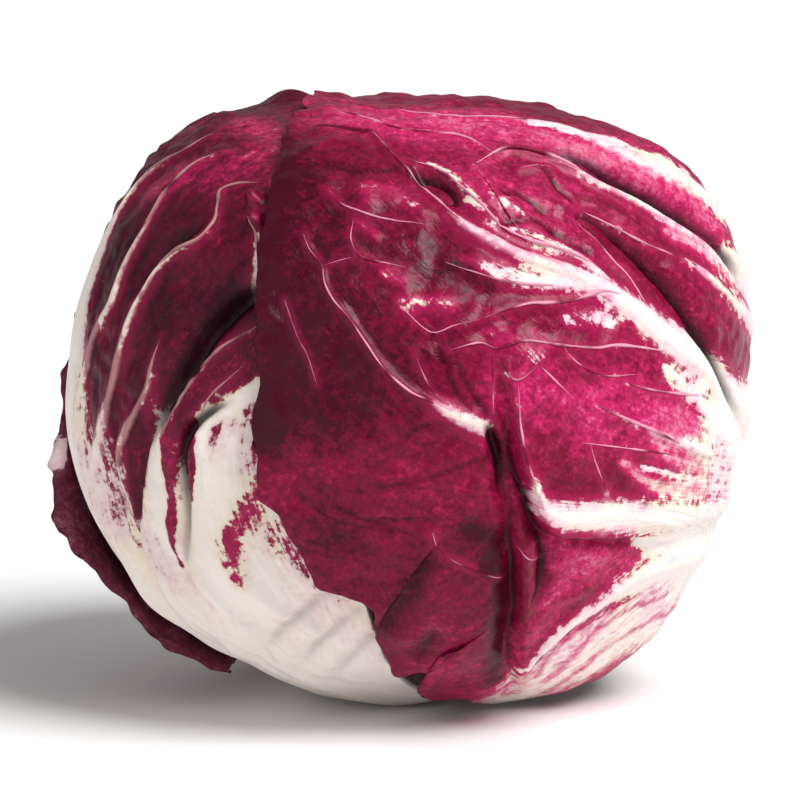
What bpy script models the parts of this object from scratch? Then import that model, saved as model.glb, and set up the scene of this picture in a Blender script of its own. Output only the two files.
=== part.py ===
"""A round head of radicchio, built leaf by leaf round its cut stump.

Run with: blender --background --python part.py

The head is laid out round one point, its centre. A place on it is a direction from that
centre, given as (azimuth, elevation) in degrees: azimuth 0 faces -Y (the front), 90 faces +X
(the right), and elevation 90 is straight up. Each leaf is a thin shell lofted through guide
lines that start at the stump and run to the leaf's free margin. Leaves lie in layers: where
one leaf passes under another it dips towards the centre by one layer. The origin is the
middle of the flat spot that the head rests on.
"""

import math
from dataclasses import dataclass, field

import bmesh
import bpy
import numpy as np
from mathutils import Matrix, Vector

# ---- The head as a whole, in metres and degrees ----
HALF_SIZE = (0.0660, 0.0615, 0.0610)  # half width, half depth and half height of the ball
CENTRE_HEIGHT = 0.0575  # less than the half height, so the ball stands on a small flat
CENTRE = np.array([0, 0, CENTRE_HEIGHT])
SWELLS = (  # azimuth, elevation, height and angular width of each broad swelling or hollow
    (92, 33, 0.0065, 24),
    (85, -50, 0.0042, 22),
    (-92, 8, -0.0036, 24),
    (-90, -48, -0.0014, 22),
    (-15, 85, -0.0048, 26),
    (-45, -75, -0.0018, 22),
    (175, -74, 0.0030, 12),
    (-100, 52, 0.0030, 20),
)

# ---- Stump and heart ----
STUMP_AIM = (145, -48)  # where the cut root end points
STUMP_RADIUS = 0.0120
STUMP_FACE = 0.0550  # from the head's centre to the cut face
STUMP_BEVEL = 0.0010
CORE_TIP = 0.0170  # from the head's centre to the narrow end of the core
CORE_TIP_RADIUS = 0.0050
CORE_GAP = 0.0020  # between the core and the foot of a leaf
BASE_DIP = 0.0055  # the leaves draw in towards the stump by this much
BASE_DIP_WIDTH = 22
HEART_RADIUS = 0.0120
HEART_STRETCH = 1.12  # the bud is longer than it is wide, towards the tips of the leaves

# ---- Leaf layers ----
LEAF_THICKNESS = 0.0011
LAYER_PITCH = 0.0021  # from one leaf's outer face to the next one's
TUCK_START = 0.0180  # a leaf starts to dip this far outside the margin that covers it
TUCK_END = 0.0035
LIFT_WIDTH = 0.0110  # the band along a free margin that stands off the head
LIFT_STARTS = (0.35, 0.75)  # shares of a leaf's length between which its sides come free
FLATTENED = (-0.92, -0.70)  # heights of a direction between which the floor presses relief flat
INNER_THICKNESS = 0.0008
INNER_PITCH = 0.0026
INNER_LEAVES = 11
INNER_GAP = 0.0005  # extra room between the outer and the inner leaves
GOLDEN_ANGLE = 137.5  # between one leaf and the next, round the stump

# ---- Leaves with a plain rounded outline: half width and reach as angles from the centre ----
FOOT_WIDTH = 0.6  # half width of a leaf's foot, as a share of the ring it stands on
TIP_ROUNDING = 0.14  # how much less far the sides reach than the midline
INNER_HALF_WIDTH = 70
INNER_REACH = 188
INNER_GRID = (9, 11)

# ---- Folds ----
FOLD_WIDTH = 0.0048  # a fold dies away over about this distance to each side
FOLD_SLOPE = 0.0020  # half the width of the slope from one side of a fold to the other
UNDER_FOLD = 1.7  # the leaves under a folded leaf follow it in a dip this much wider

# ---- Colours ----
INNER_RED = (0.34, 0.05, 0.12)
HEART_PINK = (0.66, 0.30, 0.36)
STUMP_CREAM = (0.72, 0.62, 0.44)


def direction(azimuth, elevation):
    """Unit vectors for angles in degrees."""
    azimuth, elevation = np.radians(azimuth), np.radians(elevation)
    x = np.cos(elevation) * np.sin(azimuth)
    y = -np.cos(elevation) * np.cos(azimuth)
    return np.stack([x, y, np.sin(elevation)], axis=-1)


def unit(vectors):
    return vectors / np.linalg.norm(vectors, axis=-1, keepdims=True)


def smoothstep(low, high, x):
    t = np.clip((x - low) / (high - low), 0, 1)
    return t * t * (3 - 2 * t)


STUMP = direction(*STUMP_AIM)
UPHILL = unit(np.array([0, 0, 1]) - STUMP[2] * STUMP)
ACROSS = np.cross(STUMP, UPHILL)


@dataclass
class Leaf:
    """An outer leaf: guide lines, faces across and along, lift of its margin, folds, colour.

    A fold is a list of points (azimuth, elevation, height on its left, height on its right)
    in degrees and millimetres, where left and right are as seen from outside, going along it.
    """

    name: str
    guides: list
    colour: tuple
    grid: tuple = (15, 17)
    lift: float = 0.0
    folds: list = field(default_factory=list)


def drawn(lines):
    """Guide lines written as (azimuth, elevation) pairs, as directions."""
    return [direction(*np.array(line).T) for line in lines]


def along_midline(angle, bearing):
    """Directions at an angle from the stump, straight along a bearing round it, in degrees."""
    angle, bearing = np.radians(angle)[..., None], math.radians(bearing)
    heading = math.cos(bearing) * UPHILL - math.sin(bearing) * ACROSS
    return np.cos(angle) * STUMP + np.sin(angle) * heading


def foot_ring(radius):
    """Angle from the stump to where leaves start, at a distance from the head's centre."""
    share = (STUMP_FACE - radius) / (STUMP_FACE - CORE_TIP)
    core = STUMP_RADIUS + (CORE_TIP_RADIUS - STUMP_RADIUS) * max(share, 0)
    return math.degrees(math.asin((core + CORE_GAP) / radius))


def rounded(bearing, half_width, reach, ring):
    """Guide lines of a leaf with a straight midline, widest past its middle, with a round tip.

    The bearing is the midline's, round the stump, where 0 is uphill. The leaf starts on a ring
    round the stump. Every guide line is the midline moved sideways by a share of the width
    there. All sizes are angles in degrees seen from the centre.
    """
    middle = math.radians(bearing)
    sideways = np.sin(middle) * UPHILL + np.cos(middle) * ACROSS
    foot = FOOT_WIDTH * ring
    share = np.linspace(0, 1, 7)
    width = foot + (half_width - foot) * np.sin(share**0.8 * math.pi * 0.62)
    guides = []
    for side in np.linspace(-1, 1, 5):
        start = math.acos(math.cos(math.radians(ring)) / math.cos(math.radians(foot * side)))
        end = reach * (1 - TIP_ROUNDING * side**2)
        midline = along_midline(np.linspace(math.degrees(start), end, 7), bearing)
        shift = np.radians(side * width)[:, None]
        guides.append(np.cos(shift) * midline + np.sin(shift) * sideways)
    return guides


OUTER_RING = foot_ring(STUMP_FACE)

# From the outermost leaf inwards.
OUTER_LEAVES = [
    Leaf(
        "back_left_outer_leaf",
        drawn(
            [
                [(165, -60), (-172, -67), (-125, -64), (-86, -59), (-62, -55)],
                [(167, -55), (-168, -57), (-132, -49), (-98, -42), (-78, -36)],
                [(167, -50), (-165, -42), (-135, -30), (-107, -20), (-83, -15)],
                [(166, -45), (-168, -25), (-140, -8), (-112, 0), (-85, 1)],
                [(163, -40), (-172, -8), (-148, 15), (-118, 22), (-90, 18)],
                [(159, -37), (178, 5), (-168, 33), (-137, 42), (-106, 38)],
                [(154, -35), (168, 12), (172, 42), (-164, 56), (-124, 58)],
            ]
        ),
        colour=(0.21, 0.05, 0.10),
        lift=0.0038,
    ),
    Leaf(
        "front_outer_leaf",
        drawn(
            [
                [(148, -34), (134, -5), (125, 25), (132, 50), (170, 68), (-120, 74), (-75, 72)],
                [(144, -35), (121, -8), (104, 20), (86, 44), (55, 64), (-10, 76), (-58, 69)],
                [(140, -36), (113, -12), (92, 12), (70, 32), (42, 49), (-4, 60), (-42, 59)],
                [(137, -38), (108, -18), (84, -3), (60, 10), (36, 26), (4, 38), (-32, 42)],
                [(135, -40), (105, -23), (80, -11), (55, -1), (28, 8), (2, 14), (-24, 15)],
                [(133, -43), (103, -28), (80, -18), (53, -13), (26, -8), (2, -8), (-21, -9)],
                [(131, -46), (102, -34), (80, -28), (60, -26), (38, -28), (16, -28), (-6, -28)],
                [(130, -50), (104, -45), (84, -49), (64, -58), (40, -63), (16, -58), (-2, -44)],
            ]
        ),
        colour=(0.40, 0.03, 0.11),
        grid=(26, 26),
        lift=0.0012,
        folds=[
            [(42, 40, 0, 0), (50, 30, -4, -3), (59, 21, -5, -4), (65, 11, -5, -4), (78, 2, 0, 0)],
            [(50, 54, 0, 0), (59, 48, -3, -3), (77, 35, -5, -5), (92, 24, -4, -4), (110, 8, 0, 0)],
            [(17, 20, 0, 0), (19, 1, 1.5, -2), (18, -12, 2, -3), (26, -39, 2, -2), (45, -58, 0, 0)],
        ],
    ),
    Leaf(
        "left_outer_leaf",
        drawn(
            [
                [(172, -58), (-165, -72), (-112, -60), (-106, -32), (-110, 2), (-115, 35), (-112, 60)],
                [(166, -61), (-168, -80), (-78, -64), (-70, -35), (-70, 0), (-84, 38), (-74, 68)],
                [(158, -62), (180, -85), (-60, -64), (-57, -35), (-58, -2), (-59, 34), (-55, 63)],
                [(150, -63), (120, -86), (-46, -62), (-46, -34), (-46, 0), (-44, 30), (-37, 56)],
                [(142, -62), (85, -80), (-24, -60), (-31, -32), (-32, 0), (-28, 29), (-24, 50)],
                [(134, -61), (70, -72), (5, -60), (-6, -34), (-10, 0), (-12, 26), (-14, 44)],
            ]
        ),
        colour=(0.55, 0.33, 0.34),
        grid=(24, 22),
        lift=0.0020,
        folds=[
            [(-22, 30, -2, -2), (-31, 24, -4, -4), (-38, 12, -4, -4), (-47, -4, -2, -2), (-50, -18, 0, 0)],
            [(-30, 9, -1, -1), (-36, 3, -3, -3), (-37, -9, -3, -3), (-40, -25, -1, -1), (-43, -38, 0, 0)],
        ],
    ),
    Leaf("back_right_outer_leaf", rounded(20, 62, 150, OUTER_RING), colour=(0.32, 0.04, 0.10)),
    Leaf("lower_right_outer_leaf", rounded(114, 68, 100, OUTER_RING), colour=(0.45, 0.14, 0.20)),
    Leaf(
        "top_left_outer_leaf",
        rounded(-8, 68, 192, OUTER_RING),
        colour=(0.28, 0.03, 0.09),
        grid=(17, 22),
    ),
]


def skin_radius(directions):
    """Distance from the centre to the head's skin: a swollen ellipsoid, flat at the floor."""

    def bell(towards, width):
        angle = np.arccos(np.clip(directions @ towards, -1, 1))
        return np.exp(-((angle / math.radians(width)) ** 2))

    ball = 1 / np.linalg.norm(directions / np.array(HALF_SIZE), axis=-1)
    for azimuth, elevation, height, width in SWELLS:
        ball = ball + height * bell(direction(azimuth, elevation), width)
    ball = ball - BASE_DIP * bell(STUMP, BASE_DIP_WIDTH)
    down = np.maximum(-directions[..., 2], 1e-6)
    return np.minimum(ball, CENTRE_HEIGHT / down)


def spline(knots, values, at):
    """A smooth curve through values at the knots: cubic pieces with centred slopes."""
    slopes = np.gradient(values, knots, axis=0)
    piece = np.clip(np.searchsorted(knots, at, side="right") - 1, 0, len(knots) - 2)
    step = (knots[piece + 1] - knots[piece]).reshape((-1,) + (1,) * (values.ndim - 1))
    t = (at - knots[piece]).reshape(step.shape) / step
    return (
        (2 * t**3 - 3 * t**2 + 1) * values[piece]
        + (t**3 - 2 * t**2 + t) * step * slopes[piece]
        + (3 * t**2 - 2 * t**3) * values[piece + 1]
        + (t**3 - t**2) * step * slopes[piece + 1]
    )


def loft(guides, u, v):
    """A leaf's directions at shares u of its width and v of each guide line's length."""
    lines = []
    for points in guides:
        chords = np.linalg.norm(np.diff(points, axis=0), axis=1)
        knots = np.concatenate([[0], np.cumsum(chords)]) / chords.sum()
        lines.append(unit(spline(knots, points, v)))
    return unit(spline(np.linspace(0, 1, len(guides)), np.stack(lines), u))


def signed_reach(guides, directions):
    """Distance on the skin from each direction to a leaf's margin: above 0 under the leaf."""
    dense = loft(guides, np.linspace(0, 1, 60), np.linspace(0, 1, 70))
    rim = np.concatenate([dense[0], dense[-1], dense[:, 0], dense[:, -1]])
    flat = directions.reshape(-1, 3)
    to_leaf = np.arccos(np.clip((flat @ dense.reshape(-1, 3).T).max(1), -1, 1))
    to_rim = np.arccos(np.clip((flat @ rim.T).max(1), -1, 1))
    side = np.where(to_leaf < to_rim, 1, -1)
    return (side * to_rim * skin_radius(flat)).reshape(directions.shape[:-1])


def fold_height(fold, directions, under):
    """How far a fold lifts or sinks a leaf. A leaf under the folded one only sinks."""
    fold = np.array(fold, float)
    share = np.linspace(0, len(fold) - 1, 80)
    line = unit(spline(np.arange(len(fold)), direction(fold[:, 0], fold[:, 1]), share))
    heights = spline(np.arange(len(fold)), fold[:, 2:], share) / 1000
    flat = directions.reshape(-1, 3)
    nearest = (flat @ line.T).argmax(1)
    offset = (flat - line[nearest]) * skin_radius(flat)[:, None]
    if under:
        width = FOLD_WIDTH * UNDER_FOLD
        height = np.minimum(heights[nearest].min(1), 0)
    else:
        width = FOLD_WIDTH
        rightwards = unit(np.cross(np.gradient(line, axis=0), line))[nearest]
        right = smoothstep(-FOLD_SLOPE, FOLD_SLOPE, (offset * rightwards).sum(1))
        height = heights[nearest, 0] * (1 - right) + heights[nearest, 1] * right
    away = np.linalg.norm(offset, axis=1) / width
    return (height * np.exp(-(away**2))).reshape(directions.shape[:-1])


def outer_leaf_points(leaf, above, u, v):
    """An outer leaf's outer face: it dips by one layer under each of the leaves above it."""
    directions = loft(leaf.guides, u, v)
    radius = skin_radius(directions)
    cover = np.zeros_like(radius)
    relief = np.zeros_like(radius)
    for other in above:
        cover += smoothstep(-TUCK_START, -TUCK_END, signed_reach(other.guides, directions))
        for fold in other.folds:
            relief += fold_height(fold, directions, under=True)
    for fold in leaf.folds:
        relief += fold_height(fold, directions, under=False)
    inwards = np.minimum(np.minimum(u, 1 - u)[:, None] * 2, (1 - v)[None, :])
    free = np.exp(-((inwards * radius * math.pi / 2 / LIFT_WIDTH) ** 2))
    free *= smoothstep(*LIFT_STARTS, v)[None, :] * (1 - np.clip(cover, 0, 1))
    relief += leaf.lift * free
    radius += relief * smoothstep(*FLATTENED, directions[..., 2]) - cover * LAYER_PITCH
    return directions * radius[..., None] + CENTRE


def inner_leaf_points(guides, depth, u, v):
    """An inner leaf's outer face, at one depth under the head's skin all over."""
    directions = loft(guides, u, v)
    return directions * (skin_radius(directions) - depth)[..., None] + CENTRE


def add_object(name, mesh, colour, roughness, collection):
    finish = bpy.data.materials.new(name)
    finish.use_nodes = True
    shader = finish.node_tree.nodes["Principled BSDF"]
    shader.inputs["Base Color"].default_value = (*colour, 1)
    shader.inputs["Roughness"].default_value = roughness
    shader.inputs["Metallic"].default_value = 0.0
    mesh.materials.append(finish)
    mesh.shade_smooth()
    made = bpy.data.objects.new(name, mesh)
    collection.objects.link(made)
    return made


def add_leaf(name, points_at, grid, thickness, colour, roughness, collection):
    """A grid bent to a leaf's outer face, thickened towards the head's centre."""
    across, along = grid
    points = points_at(np.linspace(0, 1, across + 1), np.linspace(0, 1, along + 1))
    bm = bmesh.new()
    bmesh.ops.create_grid(bm, x_segments=across, y_segments=along, size=0.5)
    for vert in bm.verts:
        vert.co = points[round((vert.co.x + 0.5) * across), round((vert.co.y + 0.5) * along)]
    bm.normal_update()
    if sum(f.normal.dot(f.calc_center_median() - Vector(CENTRE)) for f in bm.faces) < 0:
        bmesh.ops.reverse_faces(bm, faces=bm.faces)
    mesh = bpy.data.meshes.new(name)
    bm.to_mesh(mesh)
    bm.free()
    leaf = add_object(name, mesh, colour, roughness, collection)
    shell = leaf.modifiers.new("Thickness", "SOLIDIFY")
    shell.thickness = thickness
    shell.offset = -1


def point_at_stump(made, distance):
    """Turns an object's own Z towards the stump and sets it at a distance from the centre."""
    made.location = STUMP * distance + CENTRE
    made.rotation_euler = (math.radians(90 - STUMP_AIM[1]), 0, math.radians(STUMP_AIM[0]))


def add_stump(collection):
    """The cut root end with the core that tapers into the head."""
    bm = bmesh.new()
    length = STUMP_FACE - CORE_TIP
    bmesh.ops.create_cone(
        bm, cap_ends=True, segments=28, radius1=CORE_TIP_RADIUS, radius2=STUMP_RADIUS, depth=length
    )
    mesh = bpy.data.meshes.new("stump")
    bm.to_mesh(mesh)
    bm.free()
    stump = add_object("stump", mesh, STUMP_CREAM, 0.6, collection)
    stump.data.set_sharp_from_angle(angle=math.radians(40))
    point_at_stump(stump, CORE_TIP + length / 2)
    edge = stump.modifiers.new("Worn edge", "BEVEL")
    edge.width = STUMP_BEVEL
    edge.segments = 2
    edge.limit_method = "ANGLE"


def add_heart(collection):
    """The bud of small leaves at the centre, kept as one closed body."""
    bm = bmesh.new()
    bmesh.ops.create_uvsphere(bm, u_segments=16, v_segments=10, radius=HEART_RADIUS)
    bm.transform(Matrix.Diagonal((1, 1, HEART_STRETCH, 1)))
    mesh = bpy.data.meshes.new("heart_bud")
    bm.to_mesh(mesh)
    bm.free()
    point_at_stump(add_object("heart_bud", mesh, HEART_PINK, 0.45, collection), 0)


def main():
    for old in list(bpy.data.objects):
        bpy.data.objects.remove(old)
    head = bpy.data.collections.new("radicchio_head")
    bpy.context.scene.collection.children.link(head)

    for place, leaf in enumerate(OUTER_LEAVES):
        above = OUTER_LEAVES[:place]

        def points_at(u, v):
            return outer_leaf_points(leaf, above, u, v)

        add_leaf(leaf.name, points_at, leaf.grid, LEAF_THICKNESS, leaf.colour, 0.38, head)

    depth = LAYER_PITCH * len(OUTER_LEAVES) + INNER_GAP
    for number in range(INNER_LEAVES):
        guides = rounded(
            GOLDEN_ANGLE * number,
            INNER_HALF_WIDTH,
            INNER_REACH,
            foot_ring(min(HALF_SIZE) - depth),
        )

        def points_at(u, v):
            return inner_leaf_points(guides, depth, u, v)

        name = f"inner_leaf_{number + 1:02d}"
        add_leaf(name, points_at, INNER_GRID, INNER_THICKNESS, INNER_RED, 0.42, head)
        depth += INNER_PITCH

    add_stump(head)
    add_heart(head)


main()
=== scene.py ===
# %% [markdown]
# # A head of radicchio
#
# Radicchio is a chicory: a ball of crisp leaves, dark red with cream ribs, wrapped round a short
# stump. This notebook dresses the plain model of such a head. The plain model has the right
# size, and each leaf is in its place, but its leaves are coarse and of one colour.
#
# It could be dressed with pictures of real leaves, but a picture brings its own light with it
# and blurs close up. Here each leaf is worked out instead: a fine surface from a formula, and
# a colour that follows the ribs of that surface. So it holds up from every side.

# %% Load the plain head
import math
from dataclasses import dataclass, field

import bpy
import numpy as np
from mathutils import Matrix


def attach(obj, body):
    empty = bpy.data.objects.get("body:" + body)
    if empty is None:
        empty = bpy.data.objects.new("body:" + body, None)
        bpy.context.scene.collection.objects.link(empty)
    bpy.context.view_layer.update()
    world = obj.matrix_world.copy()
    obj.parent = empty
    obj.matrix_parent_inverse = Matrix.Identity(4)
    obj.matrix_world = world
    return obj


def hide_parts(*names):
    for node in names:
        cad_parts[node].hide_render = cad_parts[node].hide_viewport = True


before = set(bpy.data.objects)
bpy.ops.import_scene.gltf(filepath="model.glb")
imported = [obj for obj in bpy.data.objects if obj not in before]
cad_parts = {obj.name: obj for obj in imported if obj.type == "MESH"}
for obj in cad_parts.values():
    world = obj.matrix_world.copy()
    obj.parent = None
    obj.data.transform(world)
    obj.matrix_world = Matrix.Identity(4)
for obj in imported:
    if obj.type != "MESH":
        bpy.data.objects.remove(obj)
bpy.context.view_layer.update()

MM = 0.001

# %% [markdown]
# ## Places on a ball
#
# A head of leaves is nearly a ball, so a place on it is best told as two angles seen from its
# centre, as on a globe: azimuth (0 is the front, 90 the right) and elevation (90 is the top).
# The other way, x, y and z, would need a third number that says nothing new. The third number
# comes from one function, the skin: how far out the ball's surface is in each direction.

# %% Directions, and the skin of the head
HALF_SIZE = (0.0660, 0.0615, 0.0610)
CENTRE_HEIGHT = 0.0575
CENTRE = np.array([0, 0, CENTRE_HEIGHT])
SWELLS = (  # azimuth, elevation, height and angular width of each broad swelling or hollow
    (92, 33, 0.0065, 24),
    (85, -50, 0.0042, 22),
    (-92, 8, -0.0036, 24),
    (-90, -48, -0.0014, 22),
    (-15, 85, -0.0048, 26),
    (-45, -75, -0.0018, 22),
    (175, -74, 0.0030, 12),
    (-100, 52, 0.0030, 20),
)
STUMP_AIM = (145, -48)
BASE_DIP = 0.0055
BASE_DIP_WIDTH = 22


def direction(azimuth, elevation):
    """Unit vectors: x = cos e sin a, y = -cos e cos a, z = sin e, for angles in degrees."""
    azimuth, elevation = np.radians(azimuth), np.radians(elevation)
    x = np.cos(elevation) * np.sin(azimuth)
    y = -np.cos(elevation) * np.cos(azimuth)
    return np.stack([x, y, np.sin(elevation)], axis=-1)


def unit(vectors):
    """Each vector divided by its own length."""
    return vectors / np.linalg.norm(vectors, axis=-1, keepdims=True)


def smoothstep(low, high, x):
    """0 below low, 1 above high, and 3t^2 - 2t^3 of the way t between them."""
    t = np.clip((x - low) / (high - low), 0, 1)
    return t * t * (3 - 2 * t)


def bell(directions, towards, width):
    """1 towards one direction, falling off as exp(-(angle / width)^2)."""
    angle = np.arccos(np.clip(directions @ towards, -1, 1))
    return np.exp(-((angle / math.radians(width)) ** 2))


STUMP = direction(*STUMP_AIM)


def skin_radius(directions):
    """An ellipsoid's radius, plus the swells, less a dip at the stump, cut off at the floor."""
    ball = 1 / np.linalg.norm(directions / np.array(HALF_SIZE), axis=-1)
    for azimuth, elevation, height, width in SWELLS:
        ball = ball + height * bell(directions, direction(azimuth, elevation), width)
    ball = ball - BASE_DIP * bell(directions, STUMP, BASE_DIP_WIDTH)
    down = np.maximum(-directions[..., 2], 1e-6)
    return np.minimum(ball, CENTRE_HEIGHT / down)


front = skin_radius(direction(0, 0)) / MM
print("skin at the front is", round(float(front), 1), "mm from the centre")

# %% [markdown]
# ## A leaf as a fan of lines
#
# The ribs of a leaf start together at the stump and fan out to its margin. A leaf could be cut
# out of a flat sheet and bent, as a paper model is, but then its ribs would be drawn on later
# and never quite fit. Here the ribs come first. Each is a smooth line through a few directions,
# and the leaf is the sheet that joins them, called a loft. One number, u, counts across from
# rib to rib. The other, v, runs along each rib from 0 at the foot to 1 at the margin.

# %% A smooth line through a few places
def spline(knots, values, at):
    """Cubic pieces between the knots, with the slope at a knot taken from its neighbours."""
    slopes = np.gradient(values, knots, axis=0)
    piece = np.clip(np.searchsorted(knots, at, side="right") - 1, 0, len(knots) - 2)
    step = (knots[piece + 1] - knots[piece]).reshape((-1,) + (1,) * (values.ndim - 1))
    t = (at - knots[piece]).reshape(step.shape) / step
    return (
        (2 * t**3 - 3 * t**2 + 1) * values[piece]
        + (t**3 - 2 * t**2 + t) * step * slopes[piece]
        + (3 * t**2 - 2 * t**3) * values[piece + 1]
        + (t**3 - t**2) * step * slopes[piece + 1]
    )


(early,) = spline(np.arange(3), np.array([0.0, 1.0, 4.0]), np.array([0.5]))
print("a smooth line through 0, 1 and 4 is at", round(float(early), 2), "after half a step")


# %% Lofts
def loft(guides, u, v):
    """Directions at u, counted in guide lines, and at shares v of each line's length."""
    lines = []
    for points in guides:
        chords = np.linalg.norm(np.diff(points, axis=0), axis=1)
        knots = np.concatenate([[0], np.cumsum(chords)]) / chords.sum()
        lines.append(unit(spline(knots, points, v)))
    return unit(spline(np.arange(len(guides)), np.stack(lines), u))


def drawn(lines):
    """Lines written as (azimuth, elevation) pairs, as directions."""
    return [direction(*np.array(line).T) for line in lines]


small_sheet = loft(drawn([[(0, 0), (0, 30)], [(40, 0), (40, 30)]]), np.arange(2), np.arange(2))
print("a loft of 2 x 2 directions:", small_sheet.shape)

# %% [markdown]
# ## Noise without pictures
#
# Living things are never quite even, so nearly every shape below gets a little noise. It could
# come from a texture, but then it would need a map to lie on the ball. Adding up a few waves
# that run in random directions gives noise at any point in space, as smooth as we like. The
# random numbers start from a fixed seed, so the head is the same each time it is made.

# %% Waves in space
def waves(points, length, seed, count=14):
    """The sum of sine waves of about one length in random directions, from about -1 to 1."""
    random = np.random.default_rng(seed)
    ways = unit(random.normal(size=(count, 3))) / (length * random.uniform(0.7, 1.4, (count, 1)))
    phases = random.uniform(0, 2 * math.pi, count)
    return np.sin(points @ ways.T * 2 * math.pi + phases).sum(-1) / math.sqrt(count)


sample = waves(np.linspace(0, 1, 300)[:, None] * STUMP, 0.02, seed=1)
print("waves run from", round(float(sample.min()), 2), "to", round(float(sample.max()), 2))

# %% [markdown]
# ## Layers
#
# Each leaf lies on the ones inside it. Real leaves push each other aside; a cloth solver could
# do the same, slowly. A simple rule is enough for a tight head: count the leaves that lie over
# a place, and sink by one layer for each. The count fades in over a band outside each margin,
# so a leaf slides smoothly under its neighbour.

# %% How far a place is inside a leaf
LAYER_PITCH = 2.1 * MM
LEAF_THICKNESS = 1.1 * MM
TUCK_START = 18 * MM
TUCK_END = 3.5 * MM


def signed_reach(guides, directions):
    """Distance to the margin, above 0 under the leaf: the nearest of many points on the rim."""
    last = len(guides) - 1
    dense = loft(guides, np.linspace(0, last, 50), np.linspace(0, 1, 56)).astype(np.float32)
    rim = np.concatenate([dense[0], dense[-1], dense[:, 0], dense[:, -1]])
    flat = directions.reshape(-1, 3).astype(np.float32)
    reach = []
    for part in np.array_split(flat, max(1, len(flat) // 6000)):
        to_leaf = np.arccos(np.clip((part @ dense.reshape(-1, 3).T).max(1), -1, 1))
        to_rim = np.arccos(np.clip((part @ rim.T).max(1), -1, 1))
        reach.append(np.where(to_leaf < to_rim, to_rim, -to_rim) * skin_radius(part))
    return np.concatenate(reach).reshape(directions.shape[:-1])


print("layers are", round(LAYER_PITCH / MM, 1), "mm apart, leaves", round(LEAF_THICKNESS / MM, 1))

# %% [markdown]
# ## Lines drawn on a leaf
#
# A leaf is full of lines: ribs, veins, creases and streaks. Each could be cut into the mesh as
# an edge, but then the mesh would have to follow them all. Here a line is only a list of
# directions with a few numbers at each, such as a width. The leaf asks, for all of its points
# at once, how far away the line is, and what its numbers are at the nearest place.

# %% The nearest place on a drawn line
LINE_STEPS = 14


def nearest_on(line, directions, skin):
    """Distance to a line, the part of it that points to the right, and the line's numbers there.

    The line is a spline through its points, cut into short steps. The nearest step to a
    direction is the one with the largest dot product. Lengths are in metres.
    """
    rows = np.array(line, float)
    knots = np.arange(len(rows))
    share = np.linspace(0, knots[-1], LINE_STEPS * knots[-1] + 1)
    smooth = spline(knots, np.hstack([direction(rows[:, 0], rows[:, 1]), rows[:, 2:]]), share)
    steps = unit(smooth[:, :3])
    ahead = unit(np.gradient(steps, axis=0))
    rightwards = unit(np.cross(ahead, steps))
    flat = directions.reshape(-1, 3)
    nearest = (flat.astype(np.float32) @ steps.T.astype(np.float32)).argmax(1)
    offset = (flat - steps[nearest]) * skin.reshape(-1, 1)
    half_step = 0.5 * np.linalg.norm(np.diff(steps, axis=0), axis=1).max() * skin.mean()
    past = np.clip((offset * ahead[nearest]).sum(1), -half_step, half_step)
    distance = np.sqrt(np.maximum((offset**2).sum(1) - past**2, 0))
    right = (offset * rightwards[nearest]).sum(1)
    shape = directions.shape[:-1]
    return distance.reshape(shape), right.reshape(shape), smooth[nearest, 3:].T.reshape(-1, *shape)


def fade(distance, width):
    """exp(-(distance / width)^2)."""
    return np.exp(-((distance / width) ** 2))


there = direction(np.array([20.0]), np.array([10.0]))
off = nearest_on([(0, 0), (20, 0), (40, 0)], there, skin_radius(there))[0]
print("ten degrees off a line is", round(float(off[0]) / MM, 1), "mm")

# %% [markdown]
# ## Folds
#
# Where a leaf is too big for the ball it folds: deep pleats between the ribs at the upper
# right, one long crease down the front, and two where the left leaf is pinched. They could be
# sculpted by hand, but a fold is only a line with a height on each side of it. The height
# fades away with the distance from the line, and changes over a short slope across it. The
# leaves under a fold sink with it, each a little less than the one above, because a fold first
# presses out the air between them.

# %% The height of a fold
# Folds also get painted shade: a dark colour laid into each fold's low side, by its depth.
FOLD_SLOPE = 0.8 * MM
STEP_SHADE = 1.6 * MM
FULL_SHADE = 3.5 * MM
UNDER_FOLD_WIDTH = 8.2 * MM
GIVE = 0.9 * MM


def fold_height(fold, directions, skin):
    """Height left or right of a line, faded with the distance, and how much painted shade it gets."""
    line, width = fold
    distance, right, heights = nearest_on(line, directions, skin)
    left_height, right_height = heights * MM
    side = smoothstep(-FOLD_SLOPE, FOLD_SLOPE, right)
    height = left_height * (1 - side) + right_height * side
    is_step = (left_height > 0) | (right_height > 0)
    shade_width = np.where(is_step, STEP_SHADE, 1.05 * width * MM)
    # painted shade: deeper folds get more of the dark Shade colour, on the low side only
    shade = np.clip(-height / FULL_SHADE, 0, 1) * fade(distance, shade_width)
    return height * fade(distance, width * MM), shade


def sunk_by(fold, directions, skin, layers_down):
    """A leaf under a fold sinks by its depth, less the give of each layer between."""
    distance, _, heights = nearest_on(fold[0], directions, skin)
    deepest = heights.min(0) * MM + layers_down * GIVE
    return np.minimum(deepest, 0) * fade(distance, UNDER_FOLD_WIDTH)


print("a fold gives", round(GIVE / MM, 1), "mm of its depth to each layer under it")

# %% [markdown]
# ## What a leaf is
#
# Every leaf is made by the same steps, and only its numbers differ: its ribs, how wide and how
# proud each one is, how far up the cream of the foot reaches, and how ragged and how loose its
# margin is. Keeping them in one record, a dataclass, lets one function build all the leaves.

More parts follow.
